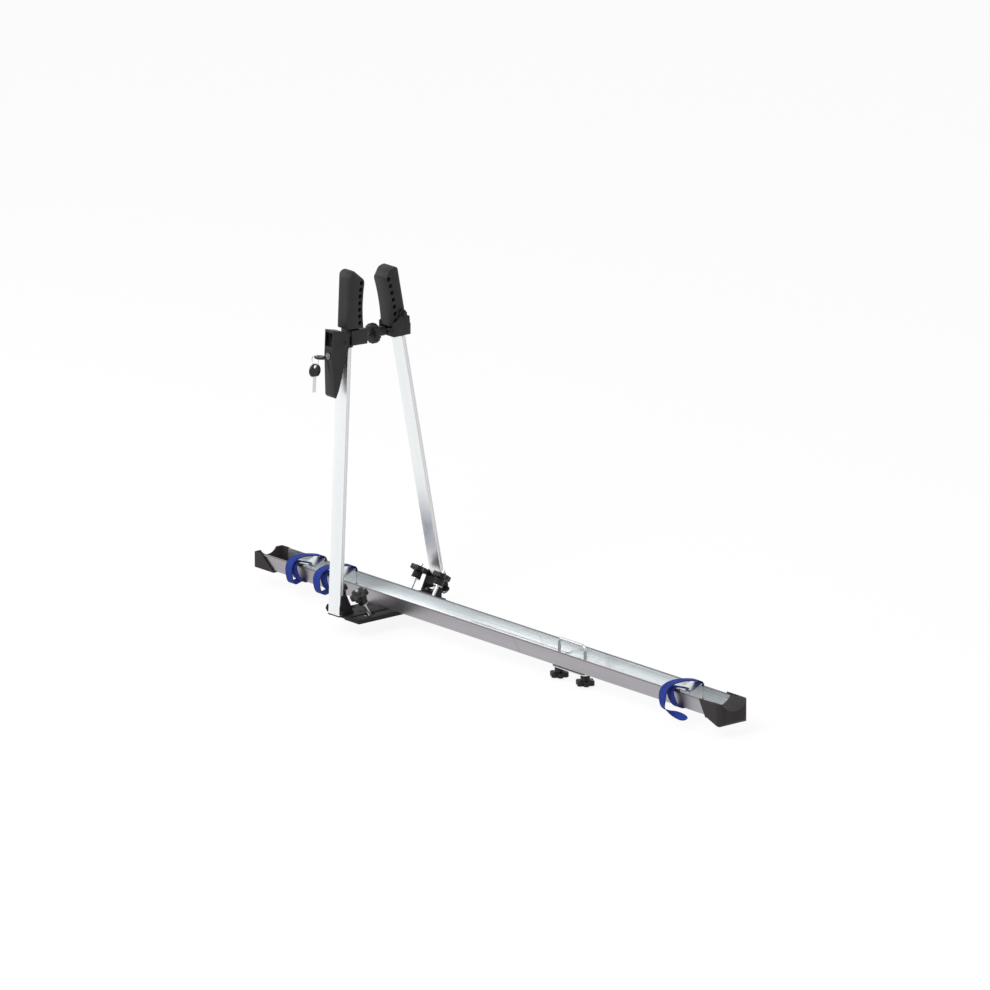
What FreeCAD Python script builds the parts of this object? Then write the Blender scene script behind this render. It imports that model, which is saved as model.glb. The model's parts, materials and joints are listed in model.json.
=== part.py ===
import math
import os
import re

import FreeCAD
import Part
import Sketcher
from FreeCAD import Placement, Rotation, Vector

# A roof-rack bike carrier: an aluminium wheel rail on a black base plate, a
# leaning pair of flat arms with jaws that grip the bicycle's frame, a locking
# lever, threaded clamps for two roof bars, wheel saddles and webbing straps.
# Millimetres. +X runs along the rail to its front end, +Y across it, +Z up.
# The origin is on the underside of the base pad, where the roof bar lies.

SIZES = {
    # how far a cutting tool runs past the piece that it cuts, and where another is close
    "cut_past": 5.0,
    "cut_near": 1.0,
    # rail
    "rail_rear_end": 354.0,
    "rail_front_end": 962.0,
    "rail_width": 65.0,
    "rail_height": 27.4,
    "rail_wall": 1.8,
    "rail_floor": 2.2,
    "rim_height": 3.2,
    "rim_bulge": 1.5,
    "joint_top": 388.0,
    "joint_slant": 20.0,
    "joint_gap": 0.6,
    "joiner_rear": 190.0,
    "joiner_front": 474.0,
    "joiner_fit": 1.2,
    "joiner_thick": 2.0,
    "joiner_screw_radius": 2.0,
    "joiner_screw_past": 5.0,
    "joiner_nut_thick": 3.2,
    "joint_cut_long": 200.0,
    "joiner_rear_screw": 215.0,
    "joiner_mid_screw": 320.0,
    "joiner_near_screw": 424.0,
    "joiner_last_screw": 456.0,
    # end caps
    "cap_wall": 2.6,
    "cap_under": 3.0,
    "cap_fit": 0.3,
    "front_cap_rise": 2.0,
    "rear_cap_rise": 0.0,
    "front_cap_end": 990.0,
    "front_cap_overlap": 35.0,
    "front_cap_slant": 25.0,
    "rear_cap_end": 380.0,
    "rear_cap_overlap": 34.0,
    "rear_cap_slant": 38.0,
    "front_cap_corner": 15.0,
    "rear_cap_corner": 4.5,
    "front_groove_radius": 34.0,
    "front_groove_depth": 17.4,
    "rear_groove_radius": 22.0,
    "rear_groove_depth": 11.4,
    "nose_back": 19.0,
    "nose_drop": 11.0,
    "nose_slope": 30.0,
    "nose_tip": 9.0,
    "nose_bevel": 6.0,
    "cap_rivet_radius": 3.0,
    "cap_rivet_setback": 14.0,
    "rivet_head_thick": 1.8,
    # base
    "base_half": 45.0,
    "base_near": 124.0,
    "base_far": 98.0,
    "base_thick": 8.0,
    "base_skin": 1.7,
    "base_edge": 3.0,
    "base_corner": 9.0,
    "strip_rear": -13.0,
    "strip_front": 19.0,
    "strip_rise": 1.6,
    "strip_fit": 1.5,
    "strip_hole_radius": 2.6,
    "pad_half": 20.0,
    "pad_reach": 46.0,
    "pad_thick": 3.0,
    "rail_bolt_radius": 3.0,
    "rail_bolt_short": 0.4,
    "rail_bolt_place": 27.0,
    "slot_reach": 12.0,
    "slot_fit": 0.7,
    "tongue_far": 117.0,
    "notch_deep": 4.4,
    "nut_skin": 3.0,
    "rail_nut_thick": 4.4,
    "pad_fit": 0.2,
    "pocket_near": 10.0,
    "pocket_far": 66.0,
    "strip_hole_place": 3.0,
    "near_strip_hole": 87.0,
    "far_strip_hole": 62.0,
    # roof-bar clamps of the base
    "wire_radius": 3.1,
    "bend_radius": 5.0,
    "near_leg_rear": -39.0,
    "near_leg_front": 27.0,
    "far_leg_rear": -33.0,
    "far_leg_front": 33.0,
    "near_leg_place": 82.0,
    "far_leg_place": 62.0,
    "leg_lean": 31.5,
    "near_rear_knob_place": 44.2,
    "near_front_knob_place": 50.4,
    "far_rear_knob_place": 53.0,
    "far_front_knob_place": 53.0,
    "knob_reach": 18.4,
    "knob_thick": 10.0,
    "lobe_radius": 5.6,
    "hub_radius": 9.5,
    "base_hub": 14.0,
    "leg_tip": 7.0,
    "knob_core": 12.5,
    "knob_bevel": 2.2,
    "thread_fit": 0.15,
    "washer_radius": 9.0,
    "washer_thick": 1.4,
    # front roof-bar clamp
    "front_leg_rear": 486.0,
    "front_leg_front": 561.0,
    "front_wire_radius": 3.0,
    "front_bend": 9.0,
    "front_bar_top": 52.0,
    "front_slot_fit": 0.3,
    "clamp_plate_drop": 10.0,
    "clamp_plate_thick": 3.0,
    "clamp_plate_over": 8.0,
    "clamp_plate_half": 12.5,
    "front_hub": 9.4,
    "front_knob_thick": 10.0,
    "front_tip": 4.0,
    "plate_corner": 5.0,
    # arm brackets
    "pivot_spread": 256.0,
    "pivot_height": 15.0,
    "pivot_radius": 2.5,
    "pivot_head_thick": 3.5,
    "pivot_nut_thick": 4.5,
    "pivot_bolt_past": 1.5,
    "cheek_thick": 3.4,
    "cheek_shoulder": 8.0,
    "cheek_fit": 0.3,
    "cheek_inner": 100.0,
    "cheek_outer": 133.0,
    "cheek_top": 46.0,
    "low_cheek_inner": 115.5,
    "cheek_top_inner": 117.0,
    "cheek_top_outer": 127.0,
    "flange_long": 12.0,
    "flange_thick": 2.4,
    "web_low": 22.0,
    "web_high": 35.0,
    "web_thick": 3.0,
    "web_set": 0.5,
    "near_web_start": -19.6,
    "bracket_bolt_radius": 2.2,
    "bracket_bolt_place": 105.5,
    "bracket_bolt_spread": 9.0,
    # arms
    "arm_centre": -20.0,
    "arm_width": 34.0,
    "arm_thick": 9.0,
    "arm_wall": 1.5,
    "arm_corner": 1.6,
    "arm_side_wall": 3.0,
    "arm_groove": 1.1,
    "arm_groove_half": 1.2,
    "near_lean": 2.6,
    "far_lean": 11.1,
    "near_arm_short": 12.6,
    "far_arm_short": 2.0,
    "arm_heel": 8.0,
    "foot_drop": 3.0,
    "foot_corner": 1.4,
    "foot_plug": 4.6,
    "plug_fit": 0.2,
    # rod and adjuster
    "rod_height": 527.6,
    "rod_radius": 3.0,
    "barrel_back": 16.0,
    "barrel_radius": 7.0,
    "barrel_side_fit": 0.3,
    "rod_tail": 15.0,
    "rod_past_barrel": 12.0,
    "near_barrel_half": 13.0,
    "near_stub_half": 17.6,
    "stub_radius": 4.0,
    "barrel_slack": 0.6,
    "adjuster_place": 77.0,
    "adjuster_long": 16.0,
    "adjuster_bevel": 1.6,
    "adjuster_radius": 18.6,
    "adjuster_ribs": 18.0,
    "rib_radius": 1.5,
    "sleeve_radius": 8.7,
    "sleeve_long": 19.0,
    "rod_slot_wide": 4.6,
    "rod_nut_radius": 5.8,
    "rod_nut_thick": 5.0,
    "rod_nut_gap": 0.2,
    # near jaw bracket
    "box_below_rod": 9.6,
    "box_above_rod": 19.4,
    "box_reach": 42.6,
    "box_wall": 3.0,
    "near_cap_thick": 4.6,
    "tongue_long": 34.0,
    "neck_half": 9.0,
    "neck_back": 15.0,
    "neck_deep": 12.0,
    "peg_height": 70.0,
    "peg_wide": 10.0,
    "peg_deep": 5.0,
    "peg_back": 9.0,
    # jaws
    "jaw_wide": 37.0,
    "near_jaw_back": 7.5,
    "near_jaw_face": 30.0,
    "jaw_above_rod": 23.4,
    "near_jaw_tall": 114.0,
    "far_jaw_back": 15.0,
    "far_jaw_face": 22.0,
    "far_jaw_tall": 123.0,
    "jaw_side_fit": 0.4,
    "jaw_shoulder": 8.0,
    "jaw_apex": 4.0,
    "jaw_crown": 10.0,
    "jaw_slope": 20.0,
    "jaw_hollow": 3.6,
    "jaw_round": 9.0,
    "jaw_holes": 7.0,
    "jaw_hole_radius": 4.3,
    "jaw_hole_inset": 7.0,
    "jaw_hole_low": 10.0,
    "jaw_hole_high": 27.0,
    # far bracket
    "far_box_below_rod": 9.783,
    "far_box_above_rod": 27.217,
    "far_box_inside": 26.009,
    "far_box_outside": 15.391,
    "far_boss_inside": 2.609,
    "far_boss_above_rod": 33.217,
    "far_boss_radius": 7.8,
    "far_slot_half": 6.6,
    "far_wall": 2.4,
    "far_back_high": 22.0,
    "far_side_lean": 2.5,
    "far_side_drop": 1.0,
    "far_side_slope": 12.0,
    "far_lip_high": 15.0,
    "far_tongue_rise": 3.5,
    "jaw_pin_past": 6.0,
    "jaw_pin_head": 3.0,
    "jaw_pin_radius": 3.0,
    # lever
    "lever_above_rod": 23.4,
    "lever_top_slope": 7.5,
    "bend_below_rod": 27.6,
    "tail_below_rod": 108.6,
    "lever_front": 38.5,
    "lever_foot": 31.5,
    "lever_back": 5.2,
    "lever_tail_back": 19.6,
    "lever_grip_back": 16.4,
    "lever_tail_wide": 26.0,
    "lever_face": 24.0,
    "lever_wide": 42.0,
    "lever_wall": 2.6,
    "toe_rise": 5.0,
    "toe_deep": 4.0,
    "heel_rise": 14.0,
    "heel_deep": 9.0,
    "tail_rise": 29.0,
    "grip_rise": 49.0,
    "grip_top": 20.0,
    "window_below_rod": 8.6,
    "window_above_rod": 18.4,
    "lever_window_half": 10.0,
    "lock_above_bend": 0.5,
    "lock_radius": 6.6,
    "lock_long": 16.0,
    "lock_proud": 1.2,
    # keys
    "key_bow_radius": 11.5,
    "key_bow_thick": 2.6,
    "key_thick": 1.8,
    "key_shank": 7.0,
    "key_deep": 12.0,
    "key_reach": 18.5,
    "key_eye_radius": 3.8,
    "key_eye_out": 6.5,
    "spare_bow_radius": 13.0,
    "spare_eye_inset": 5.2,
    "spare_reach": 42.0,
    "ring_radius": 9.5,
    "ring_side": 7.0,
    "ring_drop": 6.4,
    "seat_fit": 0.3,
    "ring_wire": 0.8,
    # wheel saddles
    "saddle_rear": -255.0,
    "saddle_mid": -163.0,
    "saddle_front": 850.0,
    "saddle_long": 29.0,
    "saddle_sheet": 1.6,
    "saddle_tip": 27.0,
    "saddle_rise": 38.6,
    "saddle_dip": 27.0,
    "saddle_hole_radius": 4.0,
    "saddle_fit": 0.3,
    "saddle_foot": 3.0,
    "saddle_shoulder": 4.0,
    "saddle_sink": 0.2,
    # straps
    "strap_wide": 20.0,
    "strap_thick": 1.8,
    "strap_clear": 0.5,
    "strap_inner_loop": 10.5,
    "rear_outer_loop": 18.0,
    "mid_outer_loop": 25.5,
    "front_outer_loop": 25.5,
}

# sizes that follow from others
RELATED = {
    "joiner_width": "rail_width - 2 * rim_bulge - 2 * rail_wall - 2 * joiner_fit",
    "nut_room_radius": "2.2 * rail_bolt_radius",
    "near_arm_top": "rod_height - near_arm_short",
    "far_arm_top": "rod_height - far_arm_short",
    "near_barrel_y": "-pivot_spread / 2 - barrel_back * cos(near_lean) + rod_height * sin(near_lean)",
    "rod_z": "pivot_height + barrel_back * sin(near_lean) + rod_height * cos(near_lean)",
    "far_barrel_y": "pivot_spread / 2 - (rod_z - pivot_height) * tan(far_lean)",
    "box_low": "rod_height - box_below_rod",
    "box_high": "rod_height + box_above_rod",
    "near_jaw_low": "rod_height + jaw_above_rod",
    "near_jaw_high": "near_jaw_low + near_jaw_tall",
    "far_jaw_low": "rod_height + jaw_above_rod",
    "far_jaw_high": "far_jaw_low + far_jaw_tall",
    "far_box_low": "rod_z - far_box_below_rod",
    "far_box_high": "rod_z + far_box_above_rod",
    "far_box_inner": "far_barrel_y - far_box_inside",
    "far_box_outer": "far_barrel_y + far_box_outside",
    "far_boss_y": "far_barrel_y - far_boss_inside",
    "far_boss_z": "rod_z + far_boss_above_rod",
    "lever_top": "rod_height + lever_above_rod",
    "lever_bend": "rod_height - bend_below_rod",
    "lever_low": "rod_height - tail_below_rod",
    "lever_window_low": "rod_height - window_below_rod",
    "lever_window_high": "rod_height + window_above_rod",
    "lock_height": "lever_bend + lock_above_bend",
}


def start_document():
    document = FreeCAD.newDocument("bike_carrier")
    table = document.addObject("Spreadsheet::Sheet", "sizes")
    for row, (alias, number) in enumerate(SIZES.items(), 1):
        table.set(f"A{row}", alias)
        table.set(f"B{row}", str(number))
        table.setAlias(f"B{row}", alias)
    document.recompute()
    return document, table


doc, sheet = start_document()
parts = {}


def formula(text):
    """An expression in which each alias is read from the sheet."""
    def named(word):
        name = word.group()
        if name in RELATED:
            return "(" + formula(RELATED[name]) + ")"
        return "sizes." + name if name in SIZES else name
    return re.sub(r"[a-z][a-z0-9_]*", named, str(text))


def size(text):
    """What a size, or an expression on sizes, comes to."""
    return float(sheet.evalExpression(formula(text)))


def drive(thing, **bindings):
    for prop, text in bindings.items():
        thing.setExpression(prop, formula(text))
    return thing


def put(thing, at, axis=None, angle=None):
    """Place a thing by three expressions, turned about an axis by an expression."""
    if axis:
        thing.Placement = Placement(Vector(), Rotation(Vector(*axis), 1.0))
        thing.setExpression("Placement.Rotation.Angle", formula(angle))
    for letter, text in zip("xyz", at):
        thing.setExpression("Placement.Base." + letter, formula(text))
    return thing


def box(name, low, sides):
    solid = doc.addObject("Part::Box", name)
    drive(solid, Length=sides[0], Width=sides[1], Height=sides[2])
    return put(solid, low)


TURN = {"x": ((0, 1, 0), 90), "y": ((-1, 0, 0), 90), "z": None}


def cylinder(name, start, along, radius, length):
    solid = drive(doc.addObject("Part::Cylinder", name), Radius=radius, Height=length)
    turn = TURN[along]
    return put(solid, start, *turn) if turn else put(solid, start)


def fuse(name, *shapes):
    union = doc.addObject("Part::MultiFuse", name)
    union.Shapes = list(shapes)
    union.Refine = True
    return union


def cut(name, base, *tools):
    tool = tools[0] if len(tools) == 1 else fuse(name + "_tools", *tools)
    result = doc.addObject("Part::Cut", name)
    result.Base = base
    result.Tool = tool
    return result


def common(name, first, second):
    result = doc.addObject("Part::Common", name)
    result.Base = first
    result.Tool = second
    return result


def rounded(name, base, radius, wanted):
    """Round the edges of a solid that a test on the edge picks, by an expression."""
    doc.recompute()
    result = doc.addObject("Part::Fillet", name)
    result.Base = base
    amount = size(radius)
    edges = [index for index, edge in enumerate(base.Shape.Edges, 1) if wanted(edge)]
    result.Edges = [(index, amount, amount) for index in edges]
    return result


PLANES = {
    "yz": Rotation(Vector(1, 1, 1), 120),
    "xz": Rotation(Vector(1, 0, 0), 90),
    "xy": Rotation(),
}


def outline(name, plane, points, at=("0", "0", "0")):
    """A closed outline of straight sides, each corner held by two dimensions."""
    sketch = doc.addObject("Sketcher::SketchObject", name)
    sketch.Placement = Placement(Vector(), PLANES[plane])
    count = len(points)
    ring = [Vector(10 * math.cos(6.28 * k / count), 10 * math.sin(6.28 * k / count), 0)
            for k in range(count)]
    for k in range(count):
        sketch.addGeometry(Part.LineSegment(ring[k], ring[(k + 1) % count]), False)
    for k in range(count):
        sketch.addConstraint(Sketcher.Constraint("Coincident", k, 2, (k + 1) % count, 1))
    for k, corner in enumerate(points):
        for kind, text in zip(("DistanceX", "DistanceY"), corner):
            place = getattr(ring[k], kind[-1].lower())
            index = sketch.addConstraint(Sketcher.Constraint(kind, -1, 1, k, 1, place))
            sketch.setExpression(f"Constraints[{index}]", formula(text))
    for letter, text in zip("xyz", at):
        sketch.setExpression("Placement.Base." + letter, formula(text))
    return sketch


def prism(name, plane, points, length, at=("0", "0", "0")):
    """An outline pushed along its plane's normal."""
    solid = doc.addObject("Part::Extrusion", name)
    solid.Base = outline(name + "_outline", plane, points, at)
    solid.DirMode = "Normal"
    solid.Solid = True
    return drive(solid, LengthFwd=length)


def part(node, thing):
    thing.Label = node
    parts[node] = thing
    return thing


def feature(node, shape):
    """A sub-part whose shape is made here from the sheet's sizes."""
    thing = doc.addObject("Part::Feature", node)
    thing.Shape = shape
    return part(node, thing)


def in_near_arm(thing):
    """Stand a piece that was drawn upright at the near arm's pivot."""
    return put(thing, ("0", "-pivot_spread / 2", "pivot_height"), (-1, 0, 0), "near_lean")


def in_far_arm(thing):
    return put(thing, ("0", "pivot_spread / 2", "pivot_height"), (1, 0, 0), "far_lean")


# rail

HALF = "rail_width / 2"
RAIL_TOP = "(base_thick + rail_height)"


def rail_profile():
    wall = "(rail_width / 2 - rim_bulge)"
    inner = "(rail_width / 2 - rim_bulge - rail_wall)"
    right = [
        (wall, "base_thick"),
        (wall, f"{RAIL_TOP} - rim_height"),
        (HALF, f"{RAIL_TOP} - rim_height"),
        (HALF, RAIL_TOP),
        (inner, RAIL_TOP),
        (inner, "base_thick + rail_floor"),
    ]
    return right + [(f"-{y}", z) for y, z in reversed(right)]


def rail_half(name, start, length):
    return prism(name, "yz", rail_profile(), length, (start, "0", "0"))


def joint_cutter(name, shift, far_side):
    """A block whose face lies along the slanted joint between the rail halves."""
    above = (f"joint_top - joint_slant {shift}", f"{RAIL_TOP} + rail_height")
    below = (f"joint_top + 2 * joint_slant {shift}", "base_thick - rail_height")
    corners = [above, below, (f"joint_top {far_side}", below[1]), (f"joint_top {far_side}", above[1])]
    return prism(name, "xz", corners, "2 * rail_width", ("0", "rail_width", "0"))


def upright_hole(name, x, y, radius, low="0", length="base_thick + rail_height"):
    return cylinder(name, (x, y, low), "z", radius, length)


def slot_along_y(name, x, y, half_wide, half_long, low, height):
    return box(name, (f"{x} - {half_wide}", f"{y} - {half_long}", low),
               (f"2 * {half_wide}", f"2 * {half_long}", height))


JOINER_SCREWS = ["joiner_rear_screw", "joiner_mid_screw", "joiner_near_screw", "joiner_last_screw"]
RIVET_PLACES = ["-rail_rear_end + cap_rivet_setback", "rail_front_end - cap_rivet_setback"]
RAIL_BOLTS = ["-rail_bolt_place", "rail_bolt_place"]
FRONT_LEGS = ["front_leg_rear", "front_leg_front"]


def make_rail():
    rear = rail_half("rear_channel", "-rail_rear_end", "rail_rear_end + joint_top + joint_slant")
    holes = [upright_hole(f"rear_hole_{k}", x, "0", "joiner_screw_radius + thread_fit")
             for k, x in enumerate(JOINER_SCREWS[:2])]
    holes += [upright_hole(f"rail_bolt_hole_{k}", x, "0", "rail_bolt_radius + thread_fit")
              for k, x in enumerate(RAIL_BOLTS)]
    holes.append(upright_hole("rear_rivet_hole", RIVET_PLACES[0], "0", "cap_rivet_radius + thread_fit"))
    holes.append(joint_cutter("rear_joint", "- joint_gap / 2", "+ joint_cut_long"))
    part("rail_rear", cut("rail_rear", rear, *holes))

    front = rail_half("front_channel", "joint_top", "rail_front_end - joint_top")
    holes = [upright_hole(f"front_hole_{k}", x, "0", "joiner_screw_radius + thread_fit")
             for k, x in enumerate(JOINER_SCREWS[2:])]
    holes += [slot_along_y(f"leg_slot_{k}", x, "0", "(front_wire_radius + front_slot_fit)",
                           "(2 * front_wire_radius)", "0", "base_thick + rail_height / 2")
              for k, x in enumerate(FRONT_LEGS)]
    holes.append(upright_hole("front_rivet_hole", RIVET_PLACES[1], "0", "cap_rivet_radius + thread_fit"))
    holes.append(joint_cutter("front_joint", "+ joint_gap / 2", "- joint_cut_long"))
    part("rail_front", cut("rail_front", front, *holes))


def make_joiner():
    floor = "(base_thick + rail_floor)"
    plate = box("joiner_sheet", ("joiner_rear", "-joiner_width / 2", floor),
                ("joiner_front - joiner_rear", "joiner_width", "joiner_thick"))
    holes = [upright_hole(f"joiner_hole_{k}", x, "0", "joiner_screw_radius + thread_fit")
             for k, x in enumerate(JOINER_SCREWS)]
    part("rail_joiner", cut("rail_joiner", plate, *holes))
    top = f"({floor} + joiner_thick)"
    screws = []
    for k, x in enumerate(JOINER_SCREWS):
        shank = cylinder(f"joiner_shank_{k}", (x, "0", "base_thick - joiner_screw_past"), "z",
                         "joiner_screw_radius", f"{top} - base_thick + joiner_screw_past")
        head = drive(doc.addObject("Part::Cone", f"joiner_head_{k}"), Radius1="2 * joiner_screw_radius",
                     Radius2="1.3 * joiner_screw_radius", Height="joiner_screw_radius")
        put(head, (x, "0", top))
        screws.append(fuse(f"joiner_screw_{k}", shank, head))
    part("joiner_screws", compound("joiner_screws", *screws))
    nuts = []
    for k, x in enumerate(JOINER_SCREWS):
        nuts.append(hex_nut(f"joiner_nut_{k}", (x, "0", "base_thick - joiner_nut_thick"), "z",
                            "2 * joiner_screw_radius", "joiner_nut_thick",
                            "joiner_screw_radius + thread_fit"))
    part("joiner_nuts", compound("joiner_nuts", *nuts))


def compound(name, *shapes):
    group = doc.addObject("Part::Compound", name)
    group.Links = list(shapes)
    return group


def hex_nut(name, start, along, corner_radius, height, bore):
    """A six-sided nut or head; a bore of None leaves it solid."""
    body = drive(doc.addObject("Part::Prism", name + "_hexagon"), Circumradius=corner_radius,
                 Height=height)
    body.Polygon = 6
    turn = TURN[along]
    put(body, start, *turn) if turn else put(body, start)
    if bore is None:
        return body
    hole = cylinder(name + "_bore", start, along, bore, height)
    return cut(name, body, hole)


def vertical_edge(edge):
    line = edge.Curve
    return isinstance(line, Part.Line) and abs(abs(line.Direction.z) - 1) < 1e-6


def make_cap(node, side, sign, inside, low_cut, high_cut, rivet_x, nose):
    """A plastic shoe that slips over one end of the rail; a nose fills its outer end."""
    end = f"{side}_cap_end"
    corner = f"{side}_cap_corner"
    outer_half = "(rail_width / 2 + cap_fit + cap_wall)"
    low = "(base_thick - cap_under - nose_drop)" if nose else "(base_thick - cap_under)"
    high = f"({RAIL_TOP} + {side}_cap_rise)"
    length = f"({end} - {inside})"
    start = inside if sign > 0 else f"-{end}"
    shell = box(node + "_block", (start, f"-{outer_half}", low),
                (length, f"2 * {outer_half}", f"{high} - {low}"))
    doc.recompute()
    limit = shell.Shape.CenterOfMass.x

    def outer_corner(edge):
        return vertical_edge(edge) and sign * edge.CenterOfMass.x > sign * limit
    shell = rounded(node + "_round", shell, corner, outer_corner)
    room = "(rail_front_end + cap_fit)" if nose else f"({end} - cap_wall)"
    room_length = f"{room} - {inside} + cut_past"
    cavity = box(node + "_room", (f"{inside} - cut_past" if sign > 0 else f"-{room}",
                                  "-rail_width / 2 - cap_fit", "base_thick"),
                 (room_length, "rail_width + 2 * cap_fit", "rail_height + cut_past"))
    body = cut(node + "_hollowed", shell, cavity)
    if nose:
        inner_half = "(rail_width / 2 - rim_bulge - rail_wall - cap_fit)"
        plug_low = "(base_thick + rail_floor + cap_fit)"
        plug = box(node + "_plug", ("rail_front_end - nose_back", f"-{inner_half}", plug_low),
                   ("nose_back + cap_wall", f"2 * {inner_half}", f"{high} - {plug_low}"))
        body = fuse(node + "_filled", body, plug)
    groove_x = f"{inside} - cut_past" if sign > 0 else f"-{end} - cut_past"
    groove = cylinder(node + "_groove", (groove_x, "0", f"{high} + {side}_groove_radius"
                                         f" - {side}_groove_depth"), "x",
                      f"{side}_groove_radius", f"{length} + 2 * cut_past")
    flip = "" if sign > 0 else "-"
    steep = f"(({low_cut} - {high_cut}) * cut_past / ({high} - {low}))"
    corners = [
        (f"{flip}({inside} - cut_past)", f"{low} - cut_past"),
        (f"{flip}({inside} + {low_cut} + {steep})", f"{low} - cut_past"),
        (f"{flip}({inside} + {high_cut} - {steep})", f"{high} + cut_past"),
        (f"{flip}({inside} - cut_past)", f"{high} + cut_past"),
    ]
    wide = f"2 * {outer_half} + 2 * cut_past"
    at = ("0", f"{outer_half} + cut_past", "0")
    tools = [groove, prism(node + "_slope", "xz", corners, wide, at),
             upright_hole(node + "_hole", rivet_x, "0", "cap_rivet_radius + thread_fit")]
    if nose:
        sole = "(base_thick - cap_under)"
        keel = [
            (f"{inside} - cut_past", f"{low} - cut_past"),
            (f"{inside} - cut_past", sole),
            (f"{end} - nose_tip - nose_slope", sole),
            (f"{end} - nose_tip", low),
            (f"{end} - nose_bevel", low),
            (f"{end} + cut_past", f"{low} + nose_bevel + cut_past"),
            (f"{end} + cut_past", f"{low} - cut_past"),
        ]
        tools.append(prism(node + "_keel", "xz", keel, wide, at))
        tools.append(upright_hole(node + "_head_room", rivet_x, "0", "2 * cap_rivet_radius + cap_fit",
                                  "base_thick + rail_floor", "rivet_head_thick + cap_fit"))
    part(node, cut(node, body, *tools))


def make_caps():
    make_cap("front_end_cap", "front", 1, "(rail_front_end - front_cap_overlap)",
             "front_cap_slant", "0", RIVET_PLACES[1], True)
    make_cap("rear_end_cap", "rear", -1, "(rail_rear_end - rear_cap_overlap)", "0",
             "rear_cap_slant", RIVET_PLACES[0], False)
    floor = "(base_thick + rail_floor)"
    rivets = []
    for k, x in enumerate(RIVET_PLACES):
        shank = cylinder(f"rivet_shank_{k}", (x, "0", "base_thick - cap_under"), "z",
                         "cap_rivet_radius", f"{floor} - base_thick + cap_under")
        head = cylinder(f"rivet_head_{k}", (x, "0", floor), "z", "2 * cap_rivet_radius",
                        "rivet_head_thick")
        rivets.append(fuse(f"cap_rivet_{k}", shank, head))
    part("end_cap_rivets", compound("end_cap_rivets", *rivets))


# base plate, its rubber pad and the bolts that hold the rail

SEAT = "(base_thick + strip_rise)"
CHEEK_LEFT = "(arm_centre - arm_width / 2 - cheek_fit - cheek_thick)"
CHEEK_RIGHT = "(arm_centre + arm_width / 2 + cheek_fit + cheek_thick)"


def base_pocket(name, left, right, rear, front):
    """A pocket in the underside that leaves the plate's skin."""
    return box(name, (left, rear, "-cut_near"),
               (f"{right} - ({left})", f"{front} - ({rear})", "base_thick - base_skin + cut_near"))


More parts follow.
